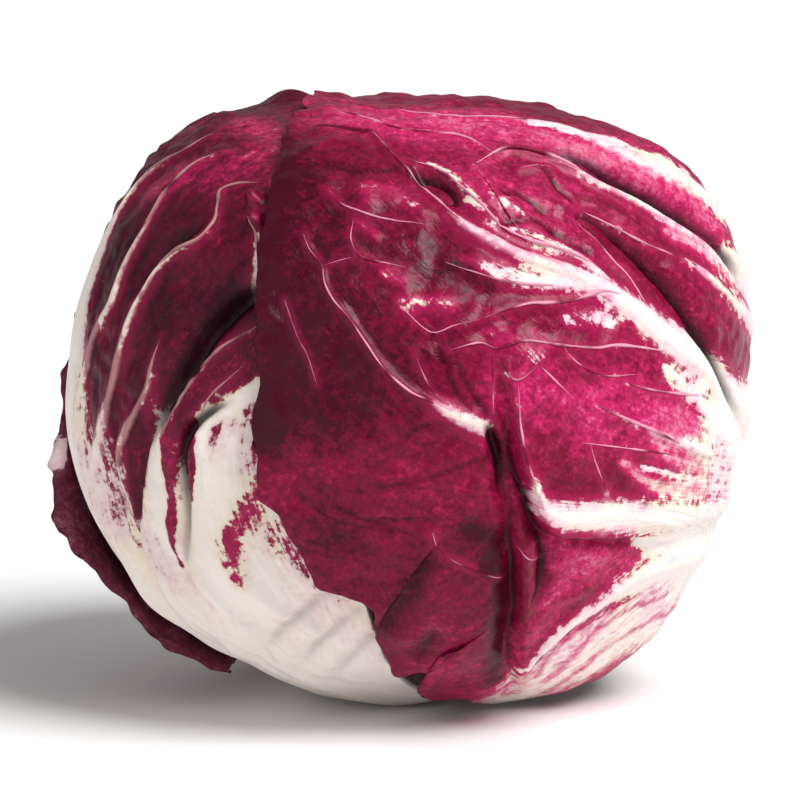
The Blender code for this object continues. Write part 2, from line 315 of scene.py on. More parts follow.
# %% The record of a leaf
@dataclass
class Leaf:
    """Guides run from foot to margin; all but the first and last are ribs. Sizes are in mm.

    ribs: for each guide that is a rib, its half width at the foot and at the tip, and its
    height. margin: (place counted in guides, azimuth, elevation) where the tip is drawn.
    veins: (line of azimuth, elevation, half width; height). folds: (line of azimuth,
    elevation, height on the left, height on the right; width). strokes, as of a brush: (line
    of azimuth, elevation, half width; how cream, how light the red, both from -4 or -1 up or
    None to leave as it is; height).
    """

    name: str
    guides: list
    ribs: list
    finish: str = "fresh"
    across: int = 160
    along: int = 200
    rib_end: float = 1.0
    cream_until: float = 0.40
    cream_fade: float = 0.14
    cell_size: float = 6.5
    puff: float = 0.5
    crumple: float = 0.3
    furrow: float = 0.25
    lift: float = 0.0
    ruffle: float = 0.4
    teeth: float = 0.4
    margin: list = field(default_factory=list)
    veins: list = field(default_factory=list)
    folds: list = field(default_factory=list)
    strokes: list = field(default_factory=list)


def groove(line, width):
    """A fold whose two sides are equally high, or equally deep."""
    return [(azimuth, elevation, height, height) for azimuth, elevation, height in line], width


def tint(line, tone, raised=0):
    """A stroke that makes the red lighter or darker and leaves the cream as it is."""
    return line, None, tone, raised


print("numbers of a leaf:", len(Leaf.__dataclass_fields__))

# %% Rows and columns of a leaf
COARSE = 4  # the inner face keeps every fourth row and column
EARLY_ROWS = 0.8


def leaf_rows(along):
    """Shares t^0.8: rows lie closer together towards the margin, where more is seen."""
    return np.linspace(0, 1, COARSE * round(along / COARSE) + 1) ** EARLY_ROWS


def leaf_columns(guides, across):
    """Values of u with every rib on one, and more of them where the gap is wider."""
    there = loft(guides, np.arange(len(guides)), np.array([0.45, 0.7, 0.9]))
    gaps = np.linalg.norm(np.diff(there, axis=0), axis=-1).max(1)
    counts = COARSE * np.maximum(1, np.round(across * gaps / gaps.sum() / COARSE).astype(int))
    steps = [k + np.arange(n) / n for k, n in enumerate(counts)]
    return np.concatenate(steps + [[len(guides) - 1]]), np.concatenate([[0], np.cumsum(counts)])


def lengths_on(points, columns):
    """Along: summed steps in v. Sideways: summed steps in u, also measured from each rib."""
    along = np.linalg.norm(np.diff(points, axis=1), axis=-1)
    along = np.concatenate([np.zeros((len(points), 1)), np.cumsum(along, axis=1)], axis=1)
    steps = np.linalg.norm(np.diff(points, axis=0), axis=-1)
    sideways = np.concatenate([np.zeros((1, points.shape[1])), np.cumsum(steps, axis=0)])
    to_rib = np.abs(sideways[:, None] - sideways[columns[1:-1]][None])
    return along, sideways, to_rib


print("rows at 10 and 90 %:", [round(float(leaf_rows(100)[k]), 2) for k in (10, 90)])

# %% [markdown]
# ## The net of small veins
#
# Between the ribs a leaf is puffed into cells a few millimetres wide, with a small vein sunk
# along each border. A bump map could fake them, but the outline and the shadows would stay
# smooth. So they are real relief. Points are scattered evenly over the ball, and every place
# belongs to its nearest point. The borders lie where the nearest two are equally far.

# %% Cells
BALL = 60 * MM
GOLDEN_TURN = math.pi * (3 - math.sqrt(5))


def cell_borders(directions, size, seed):
    """Half of (distance to the second nearest point less the distance to the nearest)."""
    count = round(4 * math.pi * (BALL / size) ** 2)
    step = np.arange(count)
    height = 1 - (2 * step + 1) / count
    width = np.sqrt(1 - height**2)
    points = np.stack([width * np.cos(step * GOLDEN_TURN), width * np.sin(step * GOLDEN_TURN), height])
    jitter = np.random.default_rng(seed).normal(size=(count, 3)) * 0.27 * size / BALL
    points = unit(points.T + jitter).T.astype(np.float32)
    places = directions * BALL
    bend = [waves(places, 1.1 * size, seed + k) for k in (1, 2, 3)]
    bent = unit(places + np.stack(bend, axis=-1) * 0.11 * size).reshape(-1, 3).astype(np.float32)
    borders = []
    for part in np.array_split(bent, max(1, len(bent) // 6000)):
        nearest = np.partition(part @ points, -2, axis=1)[:, -2:]
        angles = np.arccos(np.clip(nearest, -1, 1))
        borders.append((angles[:, 0] - angles[:, 1]) / 2 * BALL)
    return np.concatenate(borders).reshape(directions.shape[:-1])


print("cells of 6.5 mm round the ball:", round(4 * math.pi * (BALL / (6.5 * MM)) ** 2))

# %% [markdown]
# ## The relief of a leaf
#
# On the outside of a leaf the ribs stand proud, thick at the foot and fine at the tip, and the
# drawn veins stand proud by less. What is left between them is the blade, which is puffed and
# crumpled. The same distances also say where the leaf is cream and where a vein is pale, so the
# colour can never slip off the shape.

# %% Ribs and veins
RIB_TAPER = 1.6  # how fast a rib narrows after its foot
VEIN_GLOW = 0.3 * MM  # how far the pale line of a vein reaches beyond its width
FINE_VEIN_GAP = 0.9 * MM  # keeps cream off the veins that are finer than a face


def rib_fields(leaf, v, to_rib):
    """Half width = tip + (foot - tip) (1 - v)^1.6; the height falls towards the tip."""
    foot, tip, height = np.array(leaf.ribs, float).T * MM
    widths = tip[:, None] + (foot - tip)[:, None] * (1 - v) ** RIB_TAPER
    there = smoothstep(leaf.rib_end + 0.02, leaf.rib_end - 0.12, v)
    ridge = height[:, None] * (0.25 + 0.75 * (1 - v)) * smoothstep(0, 0.12, v) * there
    ridge = (ridge[None] * fade(to_rib, 0.55 * widths[None] + 0.5 * MM)).max(1)
    edge = (to_rib - widths[None]).min(1) + (1 - there) * 6 * MM
    line = fade(to_rib, widths[None] + VEIN_GLOW).max(1) * there
    return edge, ridge, line


def vein_fields(leaf, directions, skin, edge, ridge, line):
    """The same three fields with the drawn veins added, by the least or the greatest of each."""
    for vein, height in leaf.veins:
        distance, _, (width,) = nearest_on(vein, directions, skin)
        width = np.maximum(width, 0.1) * MM
        proud = height * MM * smoothstep(-0.6 * MM, 1.2 * MM, width)
        ridge = np.maximum(ridge, proud * fade(distance, 0.6 * width + 0.6 * MM))
        is_wide = smoothstep(0.45 * MM, 1.0 * MM, width)
        edge = np.minimum(edge, distance - width + FINE_VEIN_GAP * (1 - is_wide))
        line = np.maximum(line, (0.45 + 0.55 * is_wide) * fade(distance, width + VEIN_GLOW))
    return edge, ridge, line


print("half of a rib's taper is over at", round(1 - 0.5 ** (1 / RIB_TAPER), 2), "of its length")

# %% Puffed cells, crumples and furrows
CRUMPLE_SIZES = (7.5 * MM, 3.6 * MM)
BUCKLE_SIZE = 22 * MM
BUCKLE_HEIGHT = 0.3 * MM
FURROW_SIZE = 6 * MM
FURROW_STRETCH = 0.1  # lengths along a furrow count for a tenth
PUFF_PATCH = 25 * MM  # size of the patches where the cells are puffed more, or less
CELL_LINE = 0.36 * MM


def blade_relief(leaf, directions, along, sideways, v, edge, ridge, seed):
    """Ridges + puffs + crumples + furrows on the foot, and the borders of the cells."""
    places = directions * BALL
    red_part = smoothstep(leaf.cream_until - 0.15, leaf.cream_until + 0.1, v)[None]
    blade = smoothstep(0, 2.5 * MM, edge) * red_part
    coarse, fine = (waves(places, size, seed + k + 2) for k, size in enumerate(CRUMPLE_SIZES))
    relief = ridge + blade * leaf.crumple * MM * (coarse + 0.5 * fine)
    relief += waves(places, BUCKLE_SIZE, seed + 4) * BUCKLE_HEIGHT * smoothstep(0.1, 0.4, v)
    furrow_places = np.stack([sideways, FURROW_STRETCH * along, 0 * along], axis=-1)
    furrows = waves(furrow_places, FURROW_SIZE, seed + 12)
    relief += furrows * leaf.furrow * MM * (1 - 0.8 * red_part) * smoothstep(0.1, 0.3, v)
    cell = np.zeros_like(edge)
    if leaf.puff:
        border = cell_borders(directions, leaf.cell_size * MM, seed + 5)
        swollen = smoothstep(0, 0.4 * leaf.cell_size * MM, np.minimum(border, 2 * edge + MM))
        puff = leaf.puff * (0.75 + 0.5 * waves(places, PUFF_PATCH, seed + 9))
        relief += blade * np.maximum(puff, 0.1) * MM * (swollen - 0.6)
        cell = fade(border, CELL_LINE) * blade
    return relief, cell, blade


print("a furrow is", round(1 / FURROW_STRETCH), "times as long as it is wide")

# %% Cream and strokes
CREAM_EDGE = 1.2 * MM


def cream_value(leaf, v, edge):
    """Above 0 on cream: the larger of (rib edge - distance) and (foot - v)."""
    band = -edge / CREAM_EDGE - 0.5
    foot = (leaf.cream_until - v) / leaf.cream_fade * 1.5
    return np.clip(np.maximum(band, foot[None] + 0.35 * np.clip(band, -3, 0)), -4, 4)


def brush(leaf, directions, skin, cream):
    """Each stroke moves cream and tone towards its own by exp(-(distance / width)^2)."""
    tone, height = np.zeros_like(skin), np.zeros_like(skin)
    for line, new_cream, new_tone, raised in leaf.strokes:
        distance, _, (width,) = nearest_on(line, directions, skin)
        share = fade(distance, width * MM)
        if new_cream is not None:
            cream = cream + (new_cream - cream) * share
        if new_tone is not None:
            tone = tone + (new_tone - tone) * share
        height += raised * MM * share
    return cream, tone, height


print("cream ends", round(CREAM_EDGE / MM, 1), "mm from a rib's edge")

# %% [markdown]
# ## Colours that follow the ribs
#
# The red of radicchio sits in the blade, in streaks and specks that stop short of the ribs,
# and the ribs and the foot are cream. Painting that on an image would be the usual way. Here
# the shader reads what the mesh already knows: how cream a place is, how dark its red is, and
# where the veins run. Noise breaks up the border between the colours, stretched along the
# leaf, because the dye follows the fibres.
#
# Every leaf needs the same steps with its own colours, so they go into node groups, which are
# built once. First come a few small helpers that keep the node code short.

# %% Helpers for nodes
def feed(tree, node, inputs):
    """Gives a node its inputs: another node's output is linked, and a plain value is set."""
    for key, value in dict(inputs).items():
        if isinstance(value, bpy.types.NodeSocket):
            tree.links.new(value, node.inputs[key])
        else:
            node.inputs[key].default_value = value
    return node


def add(tree, kind, inputs=(), **settings):
    """One node of a kind, with its settings and then its inputs."""
    node = tree.nodes.new(kind)
    for key, value in settings.items():
        setattr(node, key, value)
    return feed(tree, node, inputs)


def calc(tree, operation, *values):
    """The output of one Math node."""
    return add(tree, "ShaderNodeMath", enumerate(values), operation=operation).outputs[0]


def times(tree, first, second):
    """first x second."""
    return calc(tree, "MULTIPLY", first, second)


def times_plus(tree, first, second, third):
    """first x second + third."""
    return calc(tree, "MULTIPLY_ADD", first, second, third)


def ramp(tree, value, low, high):
    """0 on low's side and 1 on high's side, smooth between."""
    inputs = {"Value": value, "From Min": low, "From Max": high}
    return add(tree, "ShaderNodeMapRange", inputs, interpolation_type="SMOOTHSTEP").outputs[0]


def blended(tree, share, first, second):
    """The first colour where the share is 0, the second where it is 1."""
    inputs = {0: share, 6: first, 7: second}
    return add(tree, "ShaderNodeMix", inputs, data_type="RGBA").outputs[2]


def noise(tree, place, size, detail=3.0, roughness=0.55):
    """Noise from 0 to 1 whose features are about size metres across."""
    inputs = {"Vector": place, "Scale": 1 / size, "Detail": detail, "Roughness": roughness}
    return add(tree, "ShaderNodeTexNoise", inputs).outputs[0]


def shaken(tree, value, wobble, amount):
    """value + amount (wobble - 0.5)."""
    return times_plus(tree, calc(tree, "SUBTRACT", wobble, 0.5), amount, value)


def new_group(name, inputs, outputs):
    """A node group with named sockets; returns it, what it is given, and its output node."""
    group = bpy.data.node_groups.new(name, "ShaderNodeTree")
    for label, kind in inputs.items():
        group.interface.new_socket(label, in_out="INPUT", socket_type="NodeSocket" + kind)
    for label, kind in outputs.items():
        group.interface.new_socket(label, in_out="OUTPUT", socket_type="NodeSocket" + kind)
    return group, group.nodes.new("NodeGroupInput").outputs, group.nodes.new("NodeGroupOutput")


def paint(red, green, blue):
    """A colour as a painter's chart gives it, 0 to 255, turned into amounts of light."""
    share = np.array([red, green, blue]) / 255
    light = np.where(share <= 0.04045, share / 12.92, ((share + 0.055) / 1.055) ** 2.4)
    return (*light.tolist(), 1.0)


print("a middle grey of 128 gives", round(paint(128, 128, 128)[0], 2), "of full light")

# %% The vein group: three orders of veins as masks
NET_SCALE = 400  # cells of the finest net in a metre
NET_BEND_SCALE = 260
NET_BEND = 2.2 * MM


def build_vein_group():
    """Sharpens the two drawn fields, and adds a net where cells of noise meet."""
    t, given, out = new_group(
        "Leaf veins",
        {"Line": "Float", "Cell": "Float", "Blade": "Float", "Place": "Vector"},
        {"Rib": "Float", "Side": "Float", "Net": "Float"},
    )
    patchy = noise(t, given["Place"], 5 * MM, 2)
    rib = ramp(t, shaken(t, given["Line"], patchy, 0.8), 0.5, 0.95)
    side = ramp(t, shaken(t, given["Cell"], patchy, 2.6), 0.85, 1.5)
    shift = {"Vector": given["Place"], "Scale": NET_BEND_SCALE, "Detail": 1}
    shift = add(t, "ShaderNodeTexNoise", shift).outputs["Color"]
    bend = {0: shift, 1: (NET_BEND,) * 3, 2: given["Place"]}
    bent = add(t, "ShaderNodeVectorMath", bend, operation="MULTIPLY_ADD").outputs[0]
    inputs = {"Vector": bent, "Scale": NET_SCALE}
    cells = add(t, "ShaderNodeTexVoronoi", inputs, feature="DISTANCE_TO_EDGE").outputs[0]
    net = times(t, ramp(t, cells, 0.12, 0.01), given["Blade"])
    feed(t, out, {"Rib": rib, "Side": side, "Net": net})
    return t


vein_group = build_vein_group()
print(vein_group.name, "has", len(vein_group.nodes), "nodes")

# %% The pigment group: cream, blush, streaks of red, veins, painted highlights and painted shade in the hollows
CLOUD_SIZE = 15 * MM
SPECK_SIZE = 1.8 * MM
GRAIN_SIZE = 0.8 * MM


def build_pigment_group():
    """Colour = cream or red by a noisy threshold on the cream value, then veins over the red."""
    colours = ["Red", "Deep Red", "Bright Red", "Cream", "Blush", "Tan", "Vein", "Shade"]
    numbers = ["Cream Value", "Tone", "Fold Shade", "Rib", "Side", "Net", "Net Darkness"]
    t, given, out = new_group(
        "Leaf pigment",
        {**{n: "Float" for n in numbers}, "Place": "Vector", "Along": "Vector"}
        | {c: "Color" for c in colours},
        {"Color": "Color", "Red Share": "Float"},
    )
    clouds = noise(t, given["Place"], CLOUD_SIZE, 3)
    specks = noise(t, given["Place"], SPECK_SIZE, 4, 0.65)
    grain = noise(t, given["Place"], GRAIN_SIZE, 3, 0.7)
    streaks = noise(t, given["Along"], 1.0, 3, 0.6)
    ragged = 0.0
    for wobble, amount in ((streaks, 4.0), (specks, 6.0), (clouds, 2.5)):
        ragged = shaken(t, ragged, wobble, amount)
    amount = times_plus(t, ramp(t, given["Tone"], -0.8, 0.8), 0.75, 0.3)
    uneven = times_plus(t, ragged, amount, given["Cream Value"])
    soft = times_plus(t, ramp(t, given["Tone"], 0.9, 1.5), 1.4, 0.4)
    red_share = ramp(t, uneven, soft, times(t, soft, -1.0))
    blush = times(t, ramp(t, uneven, 2.6, -0.2), 0.6)
    tone = times_plus(t, given["Tone"], 0.5, 0.5)
    for wobble, amount in ((clouds, 0.9), (specks, 1.1), (grain, 0.9), (streaks, 0.6)):
        tone = shaken(t, tone, wobble, amount)
    red = blended(t, ramp(t, tone, -0.1, 0.55), given["Deep Red"], given["Red"])
    red = blended(t, ramp(t, tone, 0.45, 1.2), red, given["Bright Red"])
    # partly pale mottling of the leaf, partly painted highlight: the lightest red turns to pale blush
    # like glints
    pale = times(t, ramp(t, tone, 0.95, 1.5), 0.6)
    red = blended(t, pale, red, given["Blush"])
    near_border = times(t, ramp(t, given["Cream Value"], -2.6, 0.2), 0.4)
    red = blended(t, near_border, red, given["Bright Red"])
    # partly painted shade: the red darkens along the sunk cell borders and the net, where shade falls
    # in the small valleys
    dark = calc(t, "MAXIMUM", times(t, given["Net"], 0.5), given["Side"])
    red = blended(t, times(t, dark, given["Net Darkness"]), red, given["Deep Red"])
    red = blended(t, given["Rib"], red, given["Vein"])
    border = blended(t, ramp(t, clouds, 0.46, 0.58), given["Blush"], given["Tan"])
    cream = blended(t, blush, given["Cream"], border)
    colour = blended(t, red_share, cream, red)
    # painted shade: the dark Shade colour laid over each fold, more where it is deeper
    shade = ramp(t, given["Fold Shade"], 0.2, 0.7)
    colour = blended(t, times(t, shade, 0.9), colour, given["Shade"])
    feed(t, out, {"Color": colour, "Red Share": red_share})
    return t


pigment_group = build_pigment_group()
print(pigment_group.name, "has", len(pigment_group.nodes), "nodes")

# %% The skin group: how glossy each place is, and its finest relief
def build_skin_group():
    """Roughness between two values by noise; height in metres from veins, fibres and pores."""
    t, given, out = new_group(
        "Leaf skin",
        {n: "Float" for n in ["Red Share", "Rib", "Side", "Net", "Glossy", "Dull"]}
        | {"Place": "Vector", "Along": "Vector"},
        {"Roughness": "Float", "Height": "Float"},
    )
    wax = ramp(t, noise(t, given["Place"], 9 * MM, 4, 0.6), 0.3, 0.7)
    mixed = {0: wax, 2: given["Glossy"], 3: given["Dull"]}
    roughness = add(t, "ShaderNodeMix", mixed, data_type="FLOAT").outputs[0]
    fibres = times(t, noise(t, given["Along"], 0.8, 2), 0.12 * MM)
    pores = times(t, noise(t, given["Place"], 0.9 * MM, 2), 0.07 * MM)
    crinkles = times(t, noise(t, given["Place"], 3.0 * MM, 2), 0.22 * MM)
    crinkles = times(t, crinkles, times_plus(t, given["Red Share"], 0.8, 0.2))
    height = calc(t, "ADD", calc(t, "ADD", fibres, pores), crinkles)
    height = times_plus(t, given["Rib"], 0.22 * MM, height)
    height = times_plus(t, given["Side"], -0.06 * MM, height)
    height = times_plus(t, given["Net"], -0.02 * MM, height)
    feed(t, out, {"Roughness": roughness, "Height": height})
    return t


skin_group = build_skin_group()
print(skin_group.name, "has", len(skin_group.nodes), "nodes")

# %% [markdown]
# ## A leaf's material
#
# The material brings the groups together with one leaf's own colours. The Principled shader
# stays here, outside the groups. The thin waxy layer of a fresh leaf is its coat.

# %% One material for each kind of leaf
STREAK_SCALE = (850, 75, 1)  # streaks in a metre across a leaf, and along it
COAT_ROUGHNESS = 0.22
SPECULAR_LEVEL = 0.13


def new_material(name):
    """A material, its node tree and its Principled shader."""
    made = bpy.data.materials.new(name)
    made.use_nodes = True
    return made, made.node_tree, made.node_tree.nodes["Principled BSDF"]


def leaf_material(name, colours, net_darkness=0.42, glossy=0.28, dull=0.46, coat=0.05):
    """Veins give masks, the masks and colours give the pigment, and both give the skin."""
    made, tree, shader = new_material(name)
    place = add(tree, "ShaderNodeTexCoord").outputs["Object"]
    uv = add(tree, "ShaderNodeUVMap", uv_map="UVMap").outputs[0]
    along = {"Vector": uv, "Scale": STREAK_SCALE}
    along = add(tree, "ShaderNodeMapping", along).outputs[0]
    read = {
        label: add(tree, "ShaderNodeAttribute", attribute_name=label).outputs["Fac"]
        for label in ("cream", "line", "cell", "blade", "tone", "hollow")
    }
    veins = {"Line": read["line"], "Cell": read["cell"], "Blade": read["blade"], "Place": place}
    veins = add(tree, "ShaderNodeGroup", veins, node_tree=vein_group).outputs
    masks = {label: veins[label] for label in ("Rib", "Side", "Net")}
    masks |= {"Place": place, "Along": along}
    pigment = {"Cream Value": read["cream"], "Tone": read["tone"], "Fold Shade": read["hollow"]}
    pigment |= {"Net Darkness": net_darkness} | {k: paint(*c) for k, c in colours.items()}
    pigment = add(tree, "ShaderNodeGroup", pigment | masks, node_tree=pigment_group).outputs
    skin = {"Glossy": glossy, "Dull": dull, "Red Share": pigment["Red Share"]}
    skin = add(tree, "ShaderNodeGroup", skin | masks, node_tree=skin_group).outputs
    bump = {"Height": skin["Height"], "Distance": 1.0}
    bump = add(tree, "ShaderNodeBump", bump).outputs[0]
    feed(tree, shader, {"Base Color": pigment["Color"], "Roughness": skin["Roughness"]})
    feed(tree, shader, {"Normal": bump, "Coat Weight": coat, "Coat Roughness": COAT_ROUGHNESS})
    feed(tree, shader, {"Specular IOR Level": SPECULAR_LEVEL})
    return made


print("streaks are about", round(1 / STREAK_SCALE[0] / MM, 1), "mm wide")

# %% Colours of the four kinds of leaf
fresh = {
    "Red": (124, 8, 50),
    "Deep Red": (66, 2, 26),
    "Bright Red": (204, 40, 104),
    "Cream": (246, 235, 229),
    "Blush": (232, 150, 184),
    "Tan": (226, 204, 172),
    "Vein": (228, 150, 176),
    # Shade: the colour of the painted shade in the folds
    "Shade": (24, 3, 12),
}
older = fresh | {"Red": (86, 8, 36), "Deep Red": (48, 3, 22), "Bright Red": (176, 28, 84)}
older |= {"Vein": (176, 122, 126), "Cream": (238, 227, 219), "Blush": (214, 172, 176)}
faded = fresh | {"Red": (104, 36, 58), "Deep Red": (64, 16, 36), "Bright Red": (156, 92, 110)}
faded |= {"Vein": (196, 160, 166)}
young = fresh | {"Red": (176, 36, 84), "Deep Red": (128, 20, 58), "Bright Red": (210, 90, 130)}
finishes = {
    "fresh": leaf_material("fresh_leaf", fresh),
    "older": leaf_material("older_leaf", older, glossy=0.3, dull=0.46),
    "faded": leaf_material("faded_leaf", faded, glossy=0.45, dull=0.6, coat=0.0),
    "young": leaf_material("young_leaf", young, net_darkness=0.35, glossy=0.3, dull=0.45),
}
print("leaf finishes:", ", ".join(finishes))

# %% [markdown]
# ## Ragged, lifted margins
#
# A leaf's free margin is thin, uneven and stands a little off the head. Small teeth could be
# cut with a boolean, at a cost in time and in clean faces. It is simpler to slide the last
# rows of the grid along the surface: first onto the margin as it is drawn, lobes and notches
# and all, and then outwards or inwards by a noise. Another noise raises them.

# %% The drawn margin, teeth and ruffles
LIFT_WIDTH = 9 * MM
SLIDE_START = 0.80
LIFT_STARTS = (0.35, 0.75)
FLATTENED = (-0.92, -0.70)


def slide_margins(leaf, directions, u, v, seed):
    """Adds the step to the drawn margin, then (outward step) x (noise along the margin)."""
    if leaf.margin:
        place, azimuth, elevation = np.array(leaf.margin, float).T
        target = direction(azimuth, elevation)
        target = unit(np.stack([np.interp(u, place, part) for part in target.T], axis=-1))
        drawn_part = smoothstep(place[0] - 0.5, place[0], u) * smoothstep(place[-1] + 0.5, place[-1], u)
        shift = (target - directions[:, -1]) * drawn_part[:, None]
        directions = unit(directions + shift[:, None] * smoothstep(SLIDE_START, 1, v)[None, :, None])
    outwards = unit(np.gradient(directions, axis=1))
    sideways = unit(np.gradient(directions, axis=0))
    size = leaf.teeth * MM / BALL
    places = directions * BALL
    tooth = waves(places, 5 * MM, seed) + 0.6 * waves(places, 2.6 * MM, seed + 1) - 0.4
    at_tip = smoothstep(0.955, 1, v)[None, :] * np.ones(len(u))[:, None]
    last = len(leaf.guides) - 1
    at_side = smoothstep(0.55, 0, u)[:, None] - smoothstep(last - 0.55, last, u)[:, None]
    along_side = smoothstep(*LIFT_STARTS, v)[None, :]
    moved = directions + outwards * (tooth[:, -1:] * size * at_tip)[..., None]
    side_tooth = np.where(u[:, None] < last / 2, tooth[:1], tooth[-1:])
    moved = moved - sideways * (side_tooth * size * at_side * along_side)[..., None]
    return unit(moved)


def margin_lift(leaf, directions, along, sideways, v, seed):
    """Lift and ruffles, faded with the distance to the margin."""
    to_tip = along[:, -1:] - along
    to_side = np.minimum(sideways, sideways[-1:] - sideways)
    side_is_free = smoothstep(*LIFT_STARTS, v)[None, :]
    near = np.maximum(fade(to_tip, LIFT_WIDTH), fade(to_side, LIFT_WIDTH) * side_is_free)
    places = directions * BALL
    wave = waves(places, 13 * MM, seed) + 0.5 * waves(places, 6 * MM, seed + 1)
    return leaf.lift * MM * near + leaf.ruffle * MM * near**2 * (wave + 0.6)


print("margins are lifted within", round(LIFT_WIDTH / MM), "mm")

# %% [markdown]
# ## From numbers to a mesh
#
# A leaf is a closed shell: an outer face, an inner face a leaf's thickness below it, and a rim
# that joins them. Blender's Solidify modifier could add the inner face, with one thickness
# and as many faces as the outer one. Real leaves are thick at the foot and thin at the margin,
# and nobody looks at the inside, so the inner face is worked out here with a quarter of the
# rows and columns. It takes the lowest height nearby, so that it never comes through.

# %% Faces and rim of a grid
def grid_faces(index):
    """Four corners of each cell of a grid of point numbers, in order."""
    corners = [index[:-1, :-1], index[1:, :-1], index[1:, 1:], index[:-1, 1:]]
    return np.stack(corners, axis=-1).reshape(-1, 4)


def rim_of(index):
    """Point numbers once round the rim of a grid, back to the first."""
    return np.concatenate([index[:-1, 0], index[-1, :-1], index[:0:-1, -1], index[0, ::-1]])


def lowest_nearby(values):
    """The least value within one coarse step of each coarse point."""
    padded = np.pad(values, COARSE, mode="edge")
    rows, columns = values.shape
    lowest = values[::COARSE, ::COARSE]
    for i in range(2 * COARSE + 1):
        for j in range(2 * COARSE + 1):
            shifted = padded[i : i + rows : COARSE, j : j + columns : COARSE]
            lowest = np.minimum(lowest, shifted)
    return lowest


print("a 3 x 3 grid has", len(grid_faces(np.arange(9).reshape(3, 3))), "faces")


# %% A closed shell from two grids of points
def add_field(mesh, label, values):
    """One number for each point of a mesh, which a material reads by its label."""
    layer = mesh.attributes.new(label, "FLOAT", "POINT")
    layer.data.foreach_set("value", values.astype(np.float32))


def add_uv(mesh, uv):
    """Lengths across and along the leaf for each corner of each face."""
    mesh.uv_layers.new(name="UVMap").data.foreach_set("uv", uv.ravel().astype(np.float32))


def shell_mesh(name, outer, inner, fields, uv):
    """Outer faces, coarse inner faces turned over, and many-sided faces round the rim."""
    top = np.arange(outer[..., 0].size).reshape(outer.shape[:2])
    low = np.arange(inner[..., 0].size).reshape(inner.shape[:2]) + top.size
    fine, coarse = rim_of(top), rim_of(low)
    many = [fine[k : len(fine) - COARSE + k : COARSE] for k in range(COARSE + 1)]
    many = np.stack(many[::-1] + [coarse[:-1], coarse[1:]], axis=-1)
    quads = np.concatenate([grid_faces(top), grid_faces(low)[:, ::-1]])
    across, along = outer[1, 1] - outer[0, 1], outer[1, 1] - outer[1, 0]
    if np.dot(np.cross(across, along), outer[1, 1] - CENTRE) < 0:
        quads, many = quads[:, ::-1], many[:, ::-1]
    corners = np.concatenate([quads.ravel(), many.ravel()])
    starts = np.arange(0, quads.size, 4), quads.size + np.arange(0, many.size, COARSE + 3)
    points = np.concatenate([outer.reshape(-1, 3), inner.reshape(-1, 3)])
    mesh = bpy.data.meshes.new(name)
    mesh.vertices.add(len(points))
    mesh.vertices.foreach_set("co", points.ravel())
    mesh.loops.add(len(corners))
    mesh.loops.foreach_set("vertex_index", corners)
    mesh.polygons.add(len(quads) + len(many))
    mesh.polygons.foreach_set("loop_start", np.concatenate(starts))
    mesh.update(calc_edges=True)
    mesh.shade_smooth()
    for label, values in fields.items():
        both = [values.ravel(), values[::COARSE, ::COARSE].ravel()]
        add_field(mesh, label, np.concatenate(both))
    both = np.concatenate([uv.reshape(-1, 2), uv[::COARSE, ::COARSE].reshape(-1, 2)])
    add_uv(mesh, both[corners])
    return mesh


# %% Putting a piece in its place
collection = bpy.context.scene.collection


def show(name, mesh, material, node=None):
    """Puts a mesh into the scene as a piece of the one body, in place of a plain node."""
    mesh.materials.append(material)
    piece = bpy.data.objects.new(name, mesh)
    collection.objects.link(piece)
    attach(piece, "root")
    if node:
        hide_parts(node)
    print(piece.name, "has", len(mesh.loops) - 2 * len(mesh.polygons), "triangles")
    return piece


# %% One function for every leaf
RIB_SINK = 0.8  # how much of its relief a leaf loses under another leaf
THIN_MARGIN = 9 * MM  # the leaf thins to under half over this length


def build_leaf(leaf, above, seed, node, depth=0.0):
    """Loft, then radius = skin - layers + folds + (relief + lift) where nothing covers it."""
    u, columns = leaf_columns(leaf.guides, leaf.across)
    v = leaf_rows(leaf.along)
    directions = slide_margins(leaf, loft(leaf.guides, u, v), u, v, seed)
    skin = skin_radius(directions) - depth
    along, sideways, to_rib = lengths_on(directions * skin[..., None], columns)
    edge, ridge, line = rib_fields(leaf, v, to_rib)
    edge, ridge, line = vein_fields(leaf, directions, skin, edge, ridge, line)
    relief, cell, blade = blade_relief(leaf, directions, along, sideways, v, edge, ridge, seed)
    cream, tone, raised = brush(leaf, directions, skin, cream_value(leaf, v, edge))
    cover, folds, hollow = (np.zeros_like(skin) for _ in range(3))
    for number, other in enumerate(above):
        cover += smoothstep(-TUCK_START, -TUCK_END, signed_reach(other.guides, directions))
        for fold in other.folds:
            folds += sunk_by(fold, directions, skin, layers_down=len(above) - number)
    for fold in leaf.folds:
        height, shade = fold_height(fold, directions, skin)
        folds += height
        hollow = np.maximum(hollow, shade)
    bare = 1 - RIB_SINK * np.clip(cover, 0, 1)
    lift = margin_lift(leaf, directions, along, sideways, v, seed + 7)
    lift = (lift + raised) * (1 - np.clip(cover, 0, 1))
    unpressed = smoothstep(*FLATTENED, directions[..., 2])
    smooth = skin + (folds + lift) * unpressed - cover * LAYER_PITCH
    radius = smooth + relief * bare * unpressed
    thinning = 0.45 + 0.55 * smoothstep(0, THIN_MARGIN, np.minimum(along[:, -1:] - along, 1))
    inner = lowest_nearby(np.minimum(smooth, radius) - LEAF_THICKNESS * thinning)
    fields = {"cream": cream, "line": line, "cell": cell * bare, "blade": blade * bare}
    fields |= {"tone": tone, "hollow": hollow}
    across = sideways[:, round(0.6 * len(v))][:, None] * np.ones_like(v)
    uv = np.stack([across, along], axis=-1)
    outer_points = directions * radius[..., None] + CENTRE
    inner_points = directions[::COARSE, ::COARSE] * inner[..., None] + CENTRE
    mesh = shell_mesh(leaf.name, outer_points, inner_points, fields, uv)
    return show(leaf.name, mesh, finishes[leaf.finish], node)


print("leaf maker ready")

